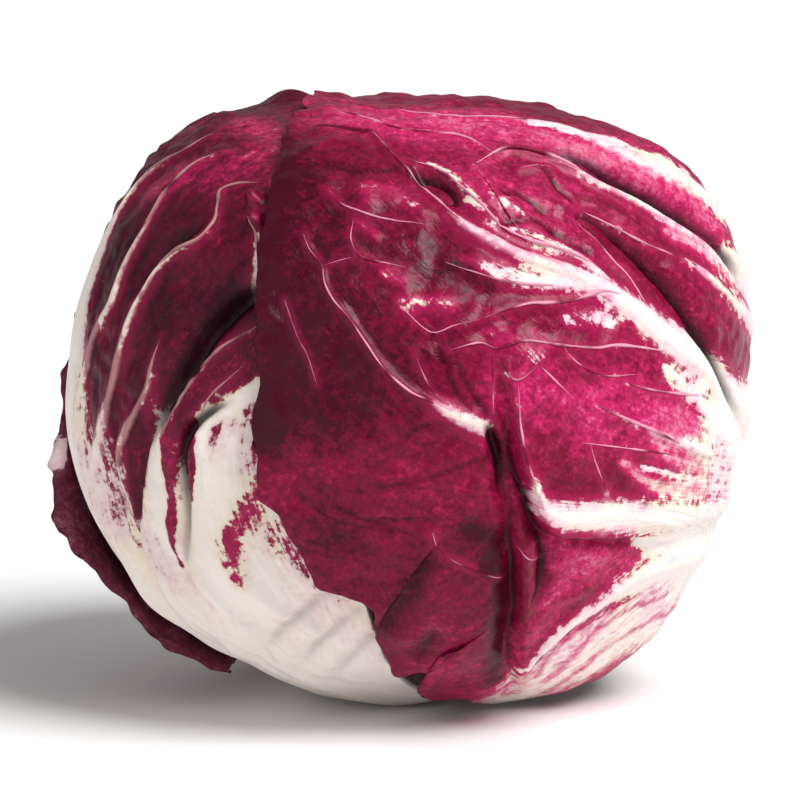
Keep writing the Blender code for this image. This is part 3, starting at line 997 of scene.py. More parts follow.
# %% [markdown]
# ## Threads
#
# The finest veins lie on the blade like threads, thinner than one face of the leaf's mesh, so
# the mesh alone would show them as rows of beads. Smaller faces would cure that, at four times
# the number. Instead each fine vein is a small ring carried along its line, pressed half into
# the leaf and pointed at both ends. The leaf is already made, so the line can ask it how high
# it stands: the nearest corner and its normal give a flat patch, and the patch gives the height.

# %% How far out a leaf stands
def settled(ways, piece):
    """Radius of a leaf along each direction: (corner . normal) / (direction . normal)."""
    mesh = piece.data
    corners, normals = np.empty(3 * len(mesh.vertices)), np.empty(3 * len(mesh.vertices))
    mesh.vertices.foreach_get("co", corners)
    mesh.vertex_normals.foreach_get("vector", normals)
    corners, normals = corners.reshape(-1, 3) - CENTRE, normals.reshape(-1, 3)
    outer = (unit(corners) * normals).sum(1) > 0.3
    corners, normals = corners[outer], normals[outer]
    seen = unit(corners).astype(np.float32).T
    near = np.concatenate([(part @ seen).argmax(1) for part in np.array_split(ways, 12)])
    return (corners[near] * normals[near]).sum(1) / (ways * normals[near]).sum(1)


# %% The fine part of each vein
THREAD_STEP = 0.5 * MM
WIDEST_THREAD = 0.9  # half width in mm of a vein that the mesh can show by itself
THREAD_SHARE = 0.55
THREAD_TAPER = 6 * MM


def thread_lines(leaf, seed):
    """Directions and half widths every half millimetre along the fine part of each vein."""
    for number, (vein, _) in enumerate(leaf.veins):
        rows = np.array(vein, float)
        knots = np.arange(len(rows))
        values = np.hstack([direction(rows[:, 0], rows[:, 1]), rows[:, 2:]])
        steps = spline(knots, values, np.linspace(0, knots[-1], 40 * len(rows)))
        steps = steps[steps[:, 3] < WIDEST_THREAD]
        if len(steps) < 3:
            continue
        length = np.linalg.norm(np.diff(unit(steps[:, :3]), axis=0), axis=1).cumsum() * BALL
        at = np.linspace(0, length[-1], max(8, round(length[-1] / THREAD_STEP)))
        steps = np.stack([np.interp(at, length, part) for part in steps[1:].T], axis=-1)
        ways = unit(steps[:, :3])
        swelling = 0.9 + 0.25 * waves(ways * BALL, 4 * MM, seed + number)
        width = np.clip(THREAD_SHARE * steps[:, 3], 0.1, 0.4) * MM * swelling
        ends = np.minimum(at, at[-1] - at)
        yield ways, width * (0.25 + 0.75 * smoothstep(0, THREAD_TAPER, ends)), at


print("veins less than", 2 * WIDEST_THREAD, "mm wide get a thread")

# %% Rings carried along the fine veins
THREAD_SIDES = 6


def thread_mesh(leaf, piece, seed):
    """Ring corner = centre line + width (cos a SIDE + sin a UP), with a point at each end."""
    turn = np.arange(THREAD_SIDES) / THREAD_SIDES * 2 * math.pi
    points, faces, marks, uv, first = [], [], [], [], 0
    lines = list(thread_lines(leaf, seed))
    radii = settled(np.concatenate([ways for ways, _, _ in lines]), piece)
    radii = np.split(radii, np.cumsum([len(ways) for ways, _, _ in lines])[:-1])
    for (ways, width, at), radius in zip(lines, radii):
        middle = ways * (radius + 0.2 * width)[:, None]
        side = unit(np.cross(np.gradient(middle, axis=0), ways))
        ring = np.cos(turn)[:, None] * side[:, None] + np.sin(turn)[:, None] * ways[:, None]
        rings = (middle[:, None] + ring * width[:, None, None])[1:-1].reshape(-1, 3)
        points += [middle[:1], rings, middle[-1:]]
        count, last = len(ways) - 2, first + 1 + len(rings)
        loop = np.arange(THREAD_SIDES)
        after = (loop + 1) % THREAD_SIDES
        start = first + 1 + np.arange(count - 1)[:, None] * THREAD_SIDES
        ahead = start + THREAD_SIDES
        end = last - THREAD_SIDES
        quads = np.stack([start + after, start + loop, ahead + loop, ahead + after], -1)
        faces += quads.reshape(-1, 4).tolist()
        faces += np.stack([first + 1 + loop, first + 1 + after, 0 * loop + first], -1).tolist()
        faces += np.stack([end + after, end + loop, 0 * loop + last], -1).tolist()
        first = last + 1
        along = np.concatenate([at[:1], np.repeat(at[1:-1], THREAD_SIDES), at[-1:]])
        uv.append(np.stack([0 * along, along], -1))
        marks.append(0.82 + 0.3 * waves(points[-2], 9 * MM, seed)[[0, *range(len(rings)), -1]])
    mesh = bpy.data.meshes.new(leaf.name + "_veins")
    mesh.from_pydata(np.concatenate(points) + CENTRE, [], faces)
    mesh.shade_smooth()
    marks = np.concatenate(marks)
    add_field(mesh, "line", marks)
    add_field(mesh, "cream", 0 * marks - 4)
    corners = np.empty(len(mesh.loops), np.int32)
    mesh.loops.foreach_get("vertex_index", corners)
    add_uv(mesh, np.concatenate(uv)[corners])
    return mesh


print("threads have", THREAD_SIDES, "sides and a ring every", round(THREAD_STEP / MM, 1), "mm")

# %% [markdown]
# ## The front leaf
#
# One huge leaf makes most of what we see. Its foot is at the back, its main rib comes round
# the right side, and its free margin lies down the front. The lines that shape it are drawn
# here one by one, because they are what the eye follows. Guessing them by rule would be
# quicker, and would look like any other leaf. First come the guides, which only carry the
# mesh, from the uppermost to the lowest, and the margin where they end.

# %% Guides and margin of the front leaf
# fmt: off
front_lines = drawn([
    [(148, -34), (134, -5), (125, 25), (132, 50), (170, 68), (-120, 74), (-75, 72)],
    [(145, -34), (124, -5), (108, 20), (95, 40), (84, 51), (66, 61), (30, 71), (-30, 76), (-62, 71)],
    [(143, -35), (119, -9), (100, 11), (87, 23), (74, 31), (63, 37), (51, 48), (32, 55), (5, 64),
     (-53, 67)],
    [(141, -36), (115, -12), (92, 5), (74, 13), (62, 23), (50, 34), (36, 43), (20, 52), (-4, 61),
     (-46, 62)],
    [(139, -37), (111, -16), (90, -4), (72, 3), (55, 10), (44, 19), (33, 26), (20, 32), (12, 39),
     (3, 49), (-10, 58), (-38, 57)],
    [(137, -39), (107, -21), (85, -10), (68, -7), (52, -2), (39, 4), (30, 9), (20, 18), (8, 28),
     (-5, 38), (-33, 48)],
    [(135, -41), (105, -25), (81, -17), (53, -12), (39, -10), (27, -7), (16, 2), (5, 7), (-2, 13),
     (-10, 23), (-17, 33), (-29, 40)],
    [(133, -43), (103, -29), (79, -20), (54, -14), (40, -12), (28, -10), (15, -5), (4, 1), (-6, 7),
     (-14, 13), (-25, 22)],
    [(132, -44), (102, -31), (79, -21), (56, -15), (42, -13), (30, -12), (20, -11), (8, -10), (-6, -9),
     (-23, -4)],
    [(132, -45), (102, -32), (79, -22), (57, -16), (43, -15), (31, -15), (20, -17), (6, -20),
     (-14, -25)],
    [(131, -45), (101, -33), (78, -23), (58, -17), (44, -17), (32, -19), (21, -25), (9, -34),
     (-3, -43)],
    [(131, -46), (101, -34), (78, -24), (60, -18), (47, -19), (37, -25), (28, -35), (18, -47),
     (6, -55)],
    [(131, -47), (101, -35), (78, -25), (60, -19), (48, -21), (41, -26), (37, -36), (31, -48),
     (22, -60)],
    [(130, -48), (101, -39), (78, -31), (66, -32), (57, -38), (50, -47), (42, -58), (34, -64)],
    [(130, -50), (104, -46), (84, -49), (68, -57), (56, -62), (44, -66)],
])
front_margin = [
    (4, -38, 57), (4.5, -34, 53), (5, -31, 48), (6, -29, 40), (6.3, -28, 35), (6.6, -27, 29),
    (7, -25, 22), (7.3, -24, 17), (7.5, -23, 9), (7.75, -24, 3), (8, -23, -3), (8.2, -23, -9),
    (8.4, -20, -12), (8.6, -18, -17), (8.8, -16, -21), (9, -15, -25), (9.2, -10, -27), (9.45, -4, -30),
    (9.6, -5, -34), (9.75, -5, -38), (9.95, -2, -43), (10.1, -1, -47), (10.3, 3, -49), (10.45, 7, -47),
    (10.6, 10, -41), (10.75, 7, -48), (11, 6, -56), (11.5, 12, -62), (12, 22, -61),
]
print("front leaf has", len(front_lines), "guides")

# %% [markdown]
# ## Veins of the front leaf
#
# The main rib is as wide as a finger at the foot and thins to a thread at the top. From it,
# and from the low rib under it, smaller veins run over the blade and join each other. Every
# vein is a list of azimuth, elevation and half width in millimetres, then its height.

# %% The main rib and the upper ribs
upper_veins = [
    ([(139, -37, 7.5), (111, -16, 6.2), (90, -5, 5.6), (72, 1, 5), (64, 6, 4.6), (58, 10, 4.2),
      (50, 15, 3.8), (45, 19, 3.3), (40, 23, 2.5), (33, 27, 1.8), (25, 30, 1.3), (19, 33, 1.3),
      (13, 37, 0.9), (8, 43, 0.4), (4, 48, 0.4), (0, 52, 0.3), (-9, 61, 0.2)], 1.3),
    ([(41, 24, 1), (38, 28, 0.9), (32, 31, 0.7), (26, 33, 0.6), (21, 36, 0.5), (18, 41, 0.4),
      (14, 46, 0.4), (9, 50, 0.3), (2, 52, 0.2)], 0.8),
    ([(38, 24, 1.2), (27, 25, 0.8), (20, 26, 0.4), (14, 28, 0.3), (9, 30, 0.2)], 0.5),
    ([(143, -35, 6), (119, -9, 4.5), (100, 12, 3.2), (84, 22, 2.4), (72, 27, 1.9), (65, 31, 1.7),
      (58, 37, 1.2), (51, 42, 1), (46, 47, 0.8), (41, 50, 0.7), (32, 53, 0.6), (21, 50, 0.4)], 1),
    ([(145, -34, 6), (124, -5, 4.5), (106, 20, 3.6), (88, 30, 3), (76, 38, 2.4), (69, 44, 2.2),
      (64, 51, 1.9), (60, 58, 1.2), (48, 63, 0.7), (26, 69, 0.4), (-10, 74, 0.2)], 0.8),
    ([(141, -36, 5), (115, -12, 4), (93, 8, 3.4), (80, 14, 2.6), (72, 18, 1.6), (63, 25, 0.8)], 0.8),
    ([(60, 27, 0.5), (54, 30, 0.5), (49, 34, 0.5), (42, 39, 0.3)], 0.3),
    ([(48, 19, 0.5), (46, 25, 0.4), (44, 28, 0.4), (42, 33, 0.3), (41, 37, 0.2)], 0.3),
    ([(28, 54, 0.4), (22, 60, 0.5), (0, 63, 0.4), (-39, 71, 0.3)], 0.3),
    ([(21, 50, 0.3), (22, 45, 0.3), (23, 40, 0.4), (25, 35, 0.4), (27, 31, 0.3)], 0.4),
    ([(41, 47, 0.4), (39, 48, 0.4), (32, 48, 0.3)], 0.3),
    ([(6, 37, 0.3), (-1, 38, 0.3), (-6, 39, 0.35), (-12, 41, 0.3), (-16, 44, 0.2)], 0.5),
    ([(2, 29, 0.4), (-3, 30, 0.35), (-7, 31, 0.3), (-9, 34, 0.25), (-9, 38, 0.2)], 0.4),
    ([(-7, 31, 0.2), (-11, 30, 0.2), (-14, 29, 0.2)], 0.3),
]

print("main rib and upper ribs:", len(upper_veins), "lines")

# %% The veins of the middle and the low rib
lower_veins = [
    ([(42, 22, 0.8), (38, 23, 0.7), (32, 22, 0.5), (27, 22, 0.5), (23, 22, 0.4), (15, 20, 0.3)], 0.6),
    ([(15, 20, 0.1), (10, 19, 0.1), (6, 18, 0.1), (2, 21, 0.1), (0, 23, 0.2)], 0.4),
    ([(50, 12, 0.6), (40, 14, 0.5), (35, 14, 0.5), (28, 15, 0.4), (22, 16, 0.5), (17, 15, 0.5),
      (14, 16, 0.4), (9, 15, 0.2)], 0.6),
    ([(17, 15, 0.4), (18, 12, 0.4), (19, 10, 0.4), (21, 10, 0.3), (24, 12, 0.2)], 0.4),
    ([(16, 15, 0.4), (16, 12, 0.3), (16, 8, 0.3), (16, 4, 0.2)], 0.4),
    ([(20, 9, 0.3), (20, 3, 0.3), (21, -3, 0.5), (23, -8, 1), (24, -11, 1.6)], 0.3),
    ([(14.5, 2, 1.5), (12.5, 3, 1.5), (10, 4, 1.3), (7.5, 5.5, 1.1), (5, 7, 0.7), (2, 8.5, 0.4),
      (-2, 12, 0.3), (-5, 16, 0.3), (-8, 20, 0.3), (-11, 23, 0.3), (-13, 26, 0.25), (-14, 29, 0.2),
      (-17, 32, 0.2), (-19, 35, 0.1)], 0.9),
    ([(3, 15, 0.2), (4, 12, 0.3), (6, 8, 0.3), (8, 6, 0.2)], 0.3),
    ([(-20, 23, 0.1), (-17, 17, 0.15), (-15, 14, 0.15), (-13, 9, 0.1)], 0.2),
    ([(62, -6, 1.2), (52, -3, 0.9), (45, 0, 0.7), (38, 3, 0.5), (34, 5, 0.4)], 0.6),
    ([(58, 4, 0.6), (47, 6, 0.4), (40, 8, 0.3)], 0.4),
    ([(33, -1, 0.2), (34, -4, 0.3), (36, -8, 0.4), (37, -10, 0.7)], 0.3),
    ([(22, 15, 0.2), (25, 11, 0.3), (30, 6, 0.2)], 0.3),
    ([(28, 16, 0.2), (31, 12, 0.25), (36, 9.5, 0.3), (43, 9, 0.3)], 0.3),
    ([(31, -1, 0.15), (42, -3, 0.25), (52, -5, 0.3)], 0.3),
    ([(137, -39, 7), (107, -23, 6), (85, -17, 4.6), (70, -17, 3.8), (60, -16.5, 3.6), (47, -15, 3.5),
      (38, -14, 3.6), (30, -13.5, 3.2), (26, -12, 2.4), (23, -9.5, 1.2)], 1.1),
    ([(132, -45, 5), (102, -33, 5), (80, -26, 4.6), (66, -25, 3.8), (56, -25, 3), (48, -27, 2.4),
      (43, -31, 1.7), (38, -35, 1.2), (35, -40, 1), (33, -45, 0.6)], 0.9),
    ([(9, -20, 0.5), (14, -22.5, 0.6), (20, -25, 0.4)], 0.5),
    ([(6, -15, 0.4), (7, -18, 0.5), (9, -20.5, 0.3)], 0.5),
    ([(21, -18, 0.4), (23, -20, 0.5), (27, -21, 0.3)], 0.4),
]
print("front leaf has", len(upper_veins + lower_veins), "veins")

# %% [markdown]
# ## Folds and colours of the front leaf
#
# Two deep pleats part the ribs at the upper right. A crease runs down from a pit in the middle,
# and the leaf right of it stands higher, as a flap. Then come the strokes. Some leave more
# cream, as where the white of a rib spills over the blade in streaks. Others make the red
# lighter or darker, or push a puff out or in. Part of that is painted light: painted shade
# beside the folds and down the left, and painted highlights on the puffs and the top. Seen
# along a fold from its start, left is left.

# %% Folds of the front leaf
front_folds = [
    groove([(49, 55, 0), (53, 50, -2.5), (58, 44, -4.4), (64, 38, -4.8), (71, 31, -4.6), (78, 25, -3),
            (88, 16, 0)], 2.4),
    groove([(40, 40, 0), (44, 35, -3.2), (50, 29, -4.8), (56, 21, -4.8), (61, 13, -4.2), (67, 5, -2.6),
            (75, -2, -1.2), (84, -8, 0)], 2),
    ([(20, -7, 0, 0), (20, -14, 1, -2.2), (22, -21, 1.5, -2.8), (25, -32, 1.6, -2.8),
      (29, -44, 1.2, -2.4), (41, -57, 0.6, -1), (51, -63, 0, 0)], 3.6),
    ([(17, 16, 0, 0), (18, 11, 0.8, -0.6), (19, 5, 1.2, -1.4), (20, -3, 1.6, -2.4), (22, -8, 1.8, -3),
      (24, -13, 1.7, -3), (27, -16.5, 1, -2), (31, -18, 0, 0)], 2.6),
    groove([(14, 4, 0), (15.5, 1.5, -2.4), (17, -2, -3.2), (18, -8, -2), (19, -12, 0)], 1.5),
    groove([(3, 49, 0), (7, 47, -2.4), (11, 44.5, -3), (14, 42, -1.8), (16, 39, 0)], 1.9),
    groove([(4, 35, 0), (8, 32, -0.3), (13, 28, -0.4), (18, 25, -0.3), (24, 23, 0)], 2.6),
    ([(25, -15, 0, 0), (29, -17, 1, -1.6), (38, -18, 1, -1.6), (50, -19, 0.6, -0.8),
      (60, -21, 0, 0)], 2.2),
    ([(9, -15, 0, 0), (6, -19, -1.6, 0.7), (2, -25, -2, 0.9), (-2, -31, -1.8, 0.9),
      (-5, -38, -1, 0.4)], 3),
    groove([(26, -16, 0), (27, -21, -1.8), (28, -27, -1.4), (27, -32, 0)], 1.6),
]
print("front leaf has", len(front_folds), "folds")

# %% Broad strokes: where the front leaf is dark or light, partly its own red, partly painted shade down the left and painted sheen over the top
front_shading = [
    # painted shade: the dark strip down the left of the front leaf
    tint([(-34, 56, 9), (-28, 42, 9), (-24, 28, 9), (-21, 14, 9), (-21, 2, 6)], -1.5),
    tint([(-16, 36, 9), (-12, 20, 11), (-8, 4, 8)], -1.15),
    tint([(0, 34, 8), (4, 14, 9)], -0.6),
    tint([(-14, 56, 6), (-2, 53, 4)], -0.4),
    tint([(-16, -10, 8), (-6, -20, 9), (-2, -38, 6)], -0.25),
    # painted sheen: the top of the front leaf made lighter
    tint([(-20, 68, 11), (10, 68, 14), (36, 62, 12)], 1),
    tint([(20, 47, 7), (34, 38, 8), (46, 30, 7)], 0.5),
    tint([(24, 8, 7), (34, 4, 8)], 1),
    tint([(48, 0, 7), (58, -3, 8), (70, -7, 8)], 1.6),
    ([(60, -3, 2), (68, -7, 4.5), (78, -10, 7)], 0.5, 1.6, 0),
    tint([(34, -22, 5), (44, -24, 6)], 0.9),
    tint([(50, 56, 6), (64, 46, 8), (78, 34, 9)], 1.5),
]
print("broad strokes:", len(front_shading))

# %% Pale, puffed spots high on the front leaf: real puffs, with painted highlights on them
front_glints = [
    # painted highlights: pale, lighter red on the crests of the puffs
    ([(-5, 44.5, 2.4), (0, 43.5, 2.8), (4, 41, 2.2)], -0.3, 0.3, 0.9),
    ([(-8, 45, 1.4), (-6, 42, 1.7)], -0.8, 0.3, 0.5),
    ([(-7, 37, 1.3), (-4, 35, 1.5)], -0.8, 0.3, 0.5),
    ([(-2, 28, 1.3), (1, 26.5, 1.5)], -0.8, 0.3, 0.6),
    ([(2, 22.8, 2.2), (9, 22.5, 2.2)], -0.2, 0.4, 0.9),
    ([(17, 17.5, 1.4), (19, 17.2, 1.4)], -0.4, 0.5, 0.9),
    ([(21, 14, 1.1), (25, 13.5, 1.3)], -0.2, 0.5, 0.8),
    ([(23, 42, 1.6), (27, 38, 1.8), (30, 35, 1.6)], -0.3, 0.6, 0.4),
]
print("puffed spots:", len(front_glints))

# %% Streaks of cream beside the ribs
front_streaks = [
    ([(9, 51, 0.8), (14, 47, 1.3), (17, 42, 1.5), (20, 37, 1.5), (27, 33.5, 1.5),
      (36, 29.5, 1.4)], 0.5, 0.4, 0.3),
    ([(10, 31, 1.2), (15, 29, 1.8), (22, 27, 2), (30, 26, 2.2), (38, 24, 2.2)], 0.8, 0.2, 0.2),
    ([(31, 19, 2), (36, 18.5, 2.6), (41, 17, 2)], 0.6, 0.3, 0),
    ([(41, 16.5, 1), (43, 16.5, 1)], -3, 0.2, 0.4),
    ([(50, 9, 1.6), (60, 2, 2.6), (72, -6, 5)], 1, 0.5, 0),
    ([(64, 0, 3), (74, -3, 5), (82, -6, 8)], 2.8, 0.4, 0),
    ([(54, -3, 1.4), (66, -8, 2.4), (76, -12, 4)], 1.2, 0.5, 0),
    ([(44, -6, 1), (56, -9.5, 1.6), (70, -13, 3)], 0.8, 0.3, 0),
    ([(40, -5, 1.4), (46, -9, 1.6), (54, -11, 2), (64, -12, 2.6)], 0.1, 1.6, 0),
    ([(62, 31, 1.6), (70, 26, 2.4), (78, 20, 4)], 0.1, 1.6, 0),
    ([(46, -2, 1), (52, -6, 1.6), (62, -8, 2.4)], 0, 1.6, 0),
    ([(60, 56, 1.4), (68, 48, 2.4), (76, 40, 3), (84, 32, 3.4)], 1.4, 0.5, 0),
    ([(52, 60, 0.8), (62, 56, 1.4), (72, 48, 2), (84, 38, 3)], 0.9, 0.6, 0),
    ([(60, 36, 0.8), (68, 30, 1.4), (78, 22, 2.4), (88, 16, 4)], 1.4, 0.3, 0),
    ([(84, -8, 6), (82, -22, 6), (78, -32, 6)], 3, 0.5, 0),
    ([(74, -36, 12), (60, -42, 12), (50, -52, 12), (44, -62, 10)], 1.9, 1.8, 0),
    ([(72, -31, 5), (58, -33, 5), (47, -40, 5), (42, -50, 6)], 1.9, 1.8, 0),
    ([(48, -20, 1.6), (62, -21, 3), (76, -23, 6)], 3.2, 0.6, 0),
]
print("streaks of cream:", len(front_streaks))

# %% The flap at the lower right
front_flap = [
    ([(27, -20, 3.4), (34, -23, 4.2), (32, -31, 4), (28, -40, 3.6), (30, -50, 3)], -4, 0.9, 0),
    ([(74, -26, 4), (60, -26, 3), (50, -28, 2.2), (43, -32, 1.6), (37, -37, 1.3), (34, -42, 1.2),
      (32, -47, 0.9)], 3, 0.8, 0.4),
    ([(66, -32, 0.6), (54, -34, 0.9), (48, -38, 1.1), (46, -44, 1.2), (46, -52, 1.4)], -0.9, 1.6, 0.1),
    ([(80, -36, 0.7), (66, -38, 0.9), (56, -43, 1.1), (53, -50, 1.2), (54, -57, 1.4)], -0.9, 1.6, 0.1),
    ([(41, -37, 0.6), (39, -43, 0.9), (40, -50, 1.2)], -0.9, 1.6, 0.1),
    ([(70, -44, 0.8), (62, -50, 1), (60, -58, 1.2)], -0.9, 1.6, 0.1),
    ([(34, -50, 2.4), (38, -58, 3)], -0.2, 1.4, 0),
]
print("strokes on the flap:", len(front_flap))

# %% Painted shade beside the folds: dark strokes where the flap and the crests cast shadow
front_hollows = [
    # painted shade: darker red, and no cream, where the folds and the flap shade the leaf
    ([(12, -15, 2.2), (17, -17, 2), (17, -22, 2)], -4, -1.1, -0.3),
    tint([(5, -22, 2), (1, -29, 2), (-3, -35, 1.6)], -1.1),
    tint([(18.5, -22, 1.6), (21, -34, 2), (28, -52, 2.6)], -1.1),
    ([(25, -17, 0.9), (27, -22, 1.1), (27, -29, 0.8)], -4, -1.2, 0),
    ([(3, 35.5, 1.8), (7, 32, 2.2), (12, 28.5, 1.6), (17, 25.5, 1)], -4, -0.6, 0),
    ([(4, 48.5, 1.4), (8, 46.5, 2), (12, 44, 1.8)], -4, -1.1, 0),
    tint([(8, -37, 1.2), (5, -42, 1.2)], -1, -0.8),
]
print("dark hollows:", len(front_hollows))

# %% Fine dark lines: sunk veins, with painted shade along them
front_fine_lines = [
    # painted shade: darker red in the small valleys of the sunk veins
    tint([(-23, 0, 0.3), (-16, -5, 0.4), (-9, -11, 0.4), (-5, -13, 0.4), (5, -13, 0.3)], -0.7, -0.2),
    tint([(14, 2, 0.4), (6, 3, 0.4), (0, 0, 0.4), (-5, -3, 0.4), (-7, -10, 0.3)], -0.6, -0.2),
    tint([(16, -2, 0.4), (8, -5, 0.4), (0, -7, 0.4), (-6, -8, 0.3)], -0.6, -0.2),
    tint([(-17, -18, 0.3), (-10, -16, 0.4), (-3, -14, 0.4), (3, -16, 0.3)], -0.6, -0.15),
    tint([(-17, -8, 0.3), (-12, -12, 0.4), (-7, -14, 0.4), (0, -15, 0.3)], -0.6, -0.15),
    tint([(6, 17, 0.4), (8, 13, 0.6), (10, 8, 0.6), (12, 5, 0.4)], -1.1, -0.4),
    tint([(9, 16, 0.4), (11, 11, 0.6), (13, 7, 0.6), (15, 4, 0.4)], -1.1, -0.4),
    tint([(39, 48, 0.4), (39, 43, 0.6), (41, 40, 0.4)], -1, -0.4),
    ([(24, 43, 0.4), (30, 41, 0.6), (32, 38, 0.4)], -3, -1, -0.4),
    ([(21, 36, 0.4), (28, 37, 0.6), (33, 34, 0.5), (39, 30, 0.4)], -3, -1, -0.4),
    tint([(-22, 51, 0.4), (-10, 49, 0.6), (0, 50, 0.4)], -1, -0.3),
    tint([(-31, 62, 0.4), (-19, 62, 0.6), (-8, 61, 0.4)], -0.8, -0.3),
]
print("fine dark lines:", len(front_fine_lines))

# %% All the numbers of the front leaf
front_strokes = front_shading + front_glints + front_streaks
front_strokes += front_flap + front_hollows + front_fine_lines
print("front leaf has", len(front_strokes), "strokes")
front_leaf = Leaf(
    "front_outer",
    front_lines,
    [(4, 0, 0.5)] * 13,
    across=288,
    along=312,
    rib_end=0.36,
    cream_until=0.37,
    cell_size=8.5,
    puff=0.45,
    crumple=0.24,
    lift=0.7,
    margin=front_margin,
    veins=upper_veins + lower_veins,
    folds=front_folds,
    strokes=front_strokes,
)

# %% [markdown]
# ## The left leaf
#
# The leaf that the head stands on. Its thick white foot is the whole lower left of the head,
# and red only begins between the ribs half way up, in tongues. It is pinched into two deep
# creases where it slides under the front leaf, and speckled below them.

# %% Guides and veins of the left leaf
left_lines = drawn([
    [(172, -58), (-165, -72), (-112, -60), (-106, -32), (-110, 2), (-115, 35), (-122, 64)],
    [(168, -60), (-165, -76), (-92, -62), (-84, -34), (-85, 0), (-98, 30), (-103, 52), (-112, 73)],
    [(166, -61), (-168, -80), (-82, -64), (-72, -35), (-67, -4), (-68, 12), (-78, 26), (-88, 42),
     (-84, 60), (-82, 74)],
    [(158, -62), (180, -85), (-62, -64), (-58, -35), (-58, -4), (-61, 13), (-59, 27), (-59, 42),
     (-52, 64)],
    [(154, -63), (150, -86), (-52, -63), (-50, -35), (-51, -5), (-51, 12), (-48, 25), (-41, 36),
     (-38, 58)],
    [(150, -63), (120, -86), (-42, -62), (-43, -34), (-46, -6), (-44, 7), (-40, 18), (-35, 33),
     (-28, 52)],
    [(142, -62), (85, -80), (-24, -60), (-33, -32), (-39, -2), (-36, 9), (-31, 16), (-24, 24),
     (-20, 46)],
    [(138, -61), (77, -76), (-8, -60), (-20, -32), (-28, -2), (-24, 12), (-16, 26), (-16, 45)],
    [(134, -61), (70, -72), (5, -60), (-6, -34), (-10, 0), (-12, 26), (-14, 44)],
])
left_veins = [
    ([(-78, -40, 9), (-76, -22, 9), (-76, -8, 8.5), (-75, 2, 8), (-74, 9, 7.5), (-75, 15, 7),
      (-76, 21, 6), (-77, 27, 4.4), (-77, 32, 2.2), (-77, 38, 1.2), (-76, 43, 0.8), (-69, 49, 0.6),
      (-67, 54, 0.4)], 1),
    ([(-94, -30, 6), (-92, 0, 5), (-94, 20, 3), (-96, 32, 1.6), (-99, 45, 0.8), (-96, 56, 0.4)], 0.8),
    ([(-66, -2, 2.4), (-64, 6, 1.8), (-62, 13, 1.4), (-59, 19, 1.2), (-59, 26, 1), (-58, 33, 0.9),
      (-59, 40, 0.7), (-58, 46, 0.6), (-55, 51, 0.4)], 0.9),
    ([(-60, -10, 3), (-57, -3, 2), (-54, 4, 1.4), (-53, 10, 1.2), (-51, 20, 1), (-49, 26, 0.9),
      (-46, 29, 0.8), (-42, 32, 0.7), (-41, 36, 0.6), (-43, 40, 0.6), (-45, 43, 0.6), (-42, 45.5, 0.6),
      (-37, 46.5, 0.4)], 0.9),
    ([(-53, -10, 2), (-51, -4, 1.2), (-48, 1, 1), (-45, 6, 0.9), (-44, 10, 0.7), (-43, 15, 0.4)], 0.7),
    ([(-42, -1, 1), (-39, 5, 0.8), (-35, 11, 0.7), (-31, 15, 0.6), (-28, 17, 0.6),
      (-24, 19.5, 0.5)], 0.6),
    ([(-35, 3, 0.5), (-32, 7, 0.5), (-27, 12, 0.3)], 0.4),
    ([(-33, 38, 0.4), (-30, 34, 0.7), (-28, 29, 0.9), (-29, 24, 0.9)], 0.8),
]

print("left leaf has", len(left_lines), "guides and", len(left_veins), "veins")

# %% Folds of the left leaf
left_folds = [
    groove([(-22, 27, 0), (-27, 25, -3), (-31, 22.5, -4.4), (-35, 17, -4.4), (-38, 10, -3.6),
            (-42, 3, -2.4), (-46, -2, -1), (-49, -8, 0)], 2.4),
    groove([(-28, 6, 0), (-32, 4.5, -2), (-36, 1, -2.6), (-38, -4, -2.4), (-38, -11, -2),
            (-40, -20, -1.5), (-43, -32, -0.8), (-44, -46, 0)], 1.2),
    ([(-41, 4, 0, 0), (-45, 0, -1.6, -1), (-48, -8, -1.8, -0.8), (-51, -18, -1.4, -0.4),
      (-54, -30, -0.8, 0), (-55, -40, 0, 0)], 1.6),
    ([(-54, 2, 0, 0), (-53.5, -4, -1.4, -0.5), (-55, -14, -1.2, -0.2), (-58, -26, 0, 0)], 1.6),
    ([(-61, 4, 0, 0), (-60.5, -2, -1.2, -0.4), (-62, -12, -1, -0.2), (-65, -24, 0, 0)], 1.6),
    groove([(-53, 20, 0), (-52, 26, -1.8), (-49, 30, -2.4), (-45, 35, -1.6), (-43, 39, 0)], 1.8),
    groove([(-116, 60, 0), (-114, 66, 3.2), (-108, 70, 3.8), (-96, 72, 1.6)], 4.6),
    groove([(-12, -28, -1.2), (-26, -38, -1.3), (-42, -50, 0)], 2.2),
    groove([(-8, -34, -1.2), (-20, -43, -1.3), (-34, -54, 0)], 2),
    groove([(-4, -40, -1.2), (-14, -49, -1.1), (-26, -59, 0)], 1.8),
    groove([(-39, 43.5, 0), (-36.5, 43, 2.2), (-34.5, 42, 2.6), (-33, 40, 0)], 1.4),
    groove([(-34, 39.5, 0), (-32.5, 38.5, 2.2), (-31.5, 37, 2.2), (-31, 36, 0)], 1.3),
    groove([(-34, 46, 0), (-32.5, 46, 1.8), (-31, 45, 1.8), (-30, 44, 0)], 1.2),
]
print("left leaf has", len(left_folds), "folds")

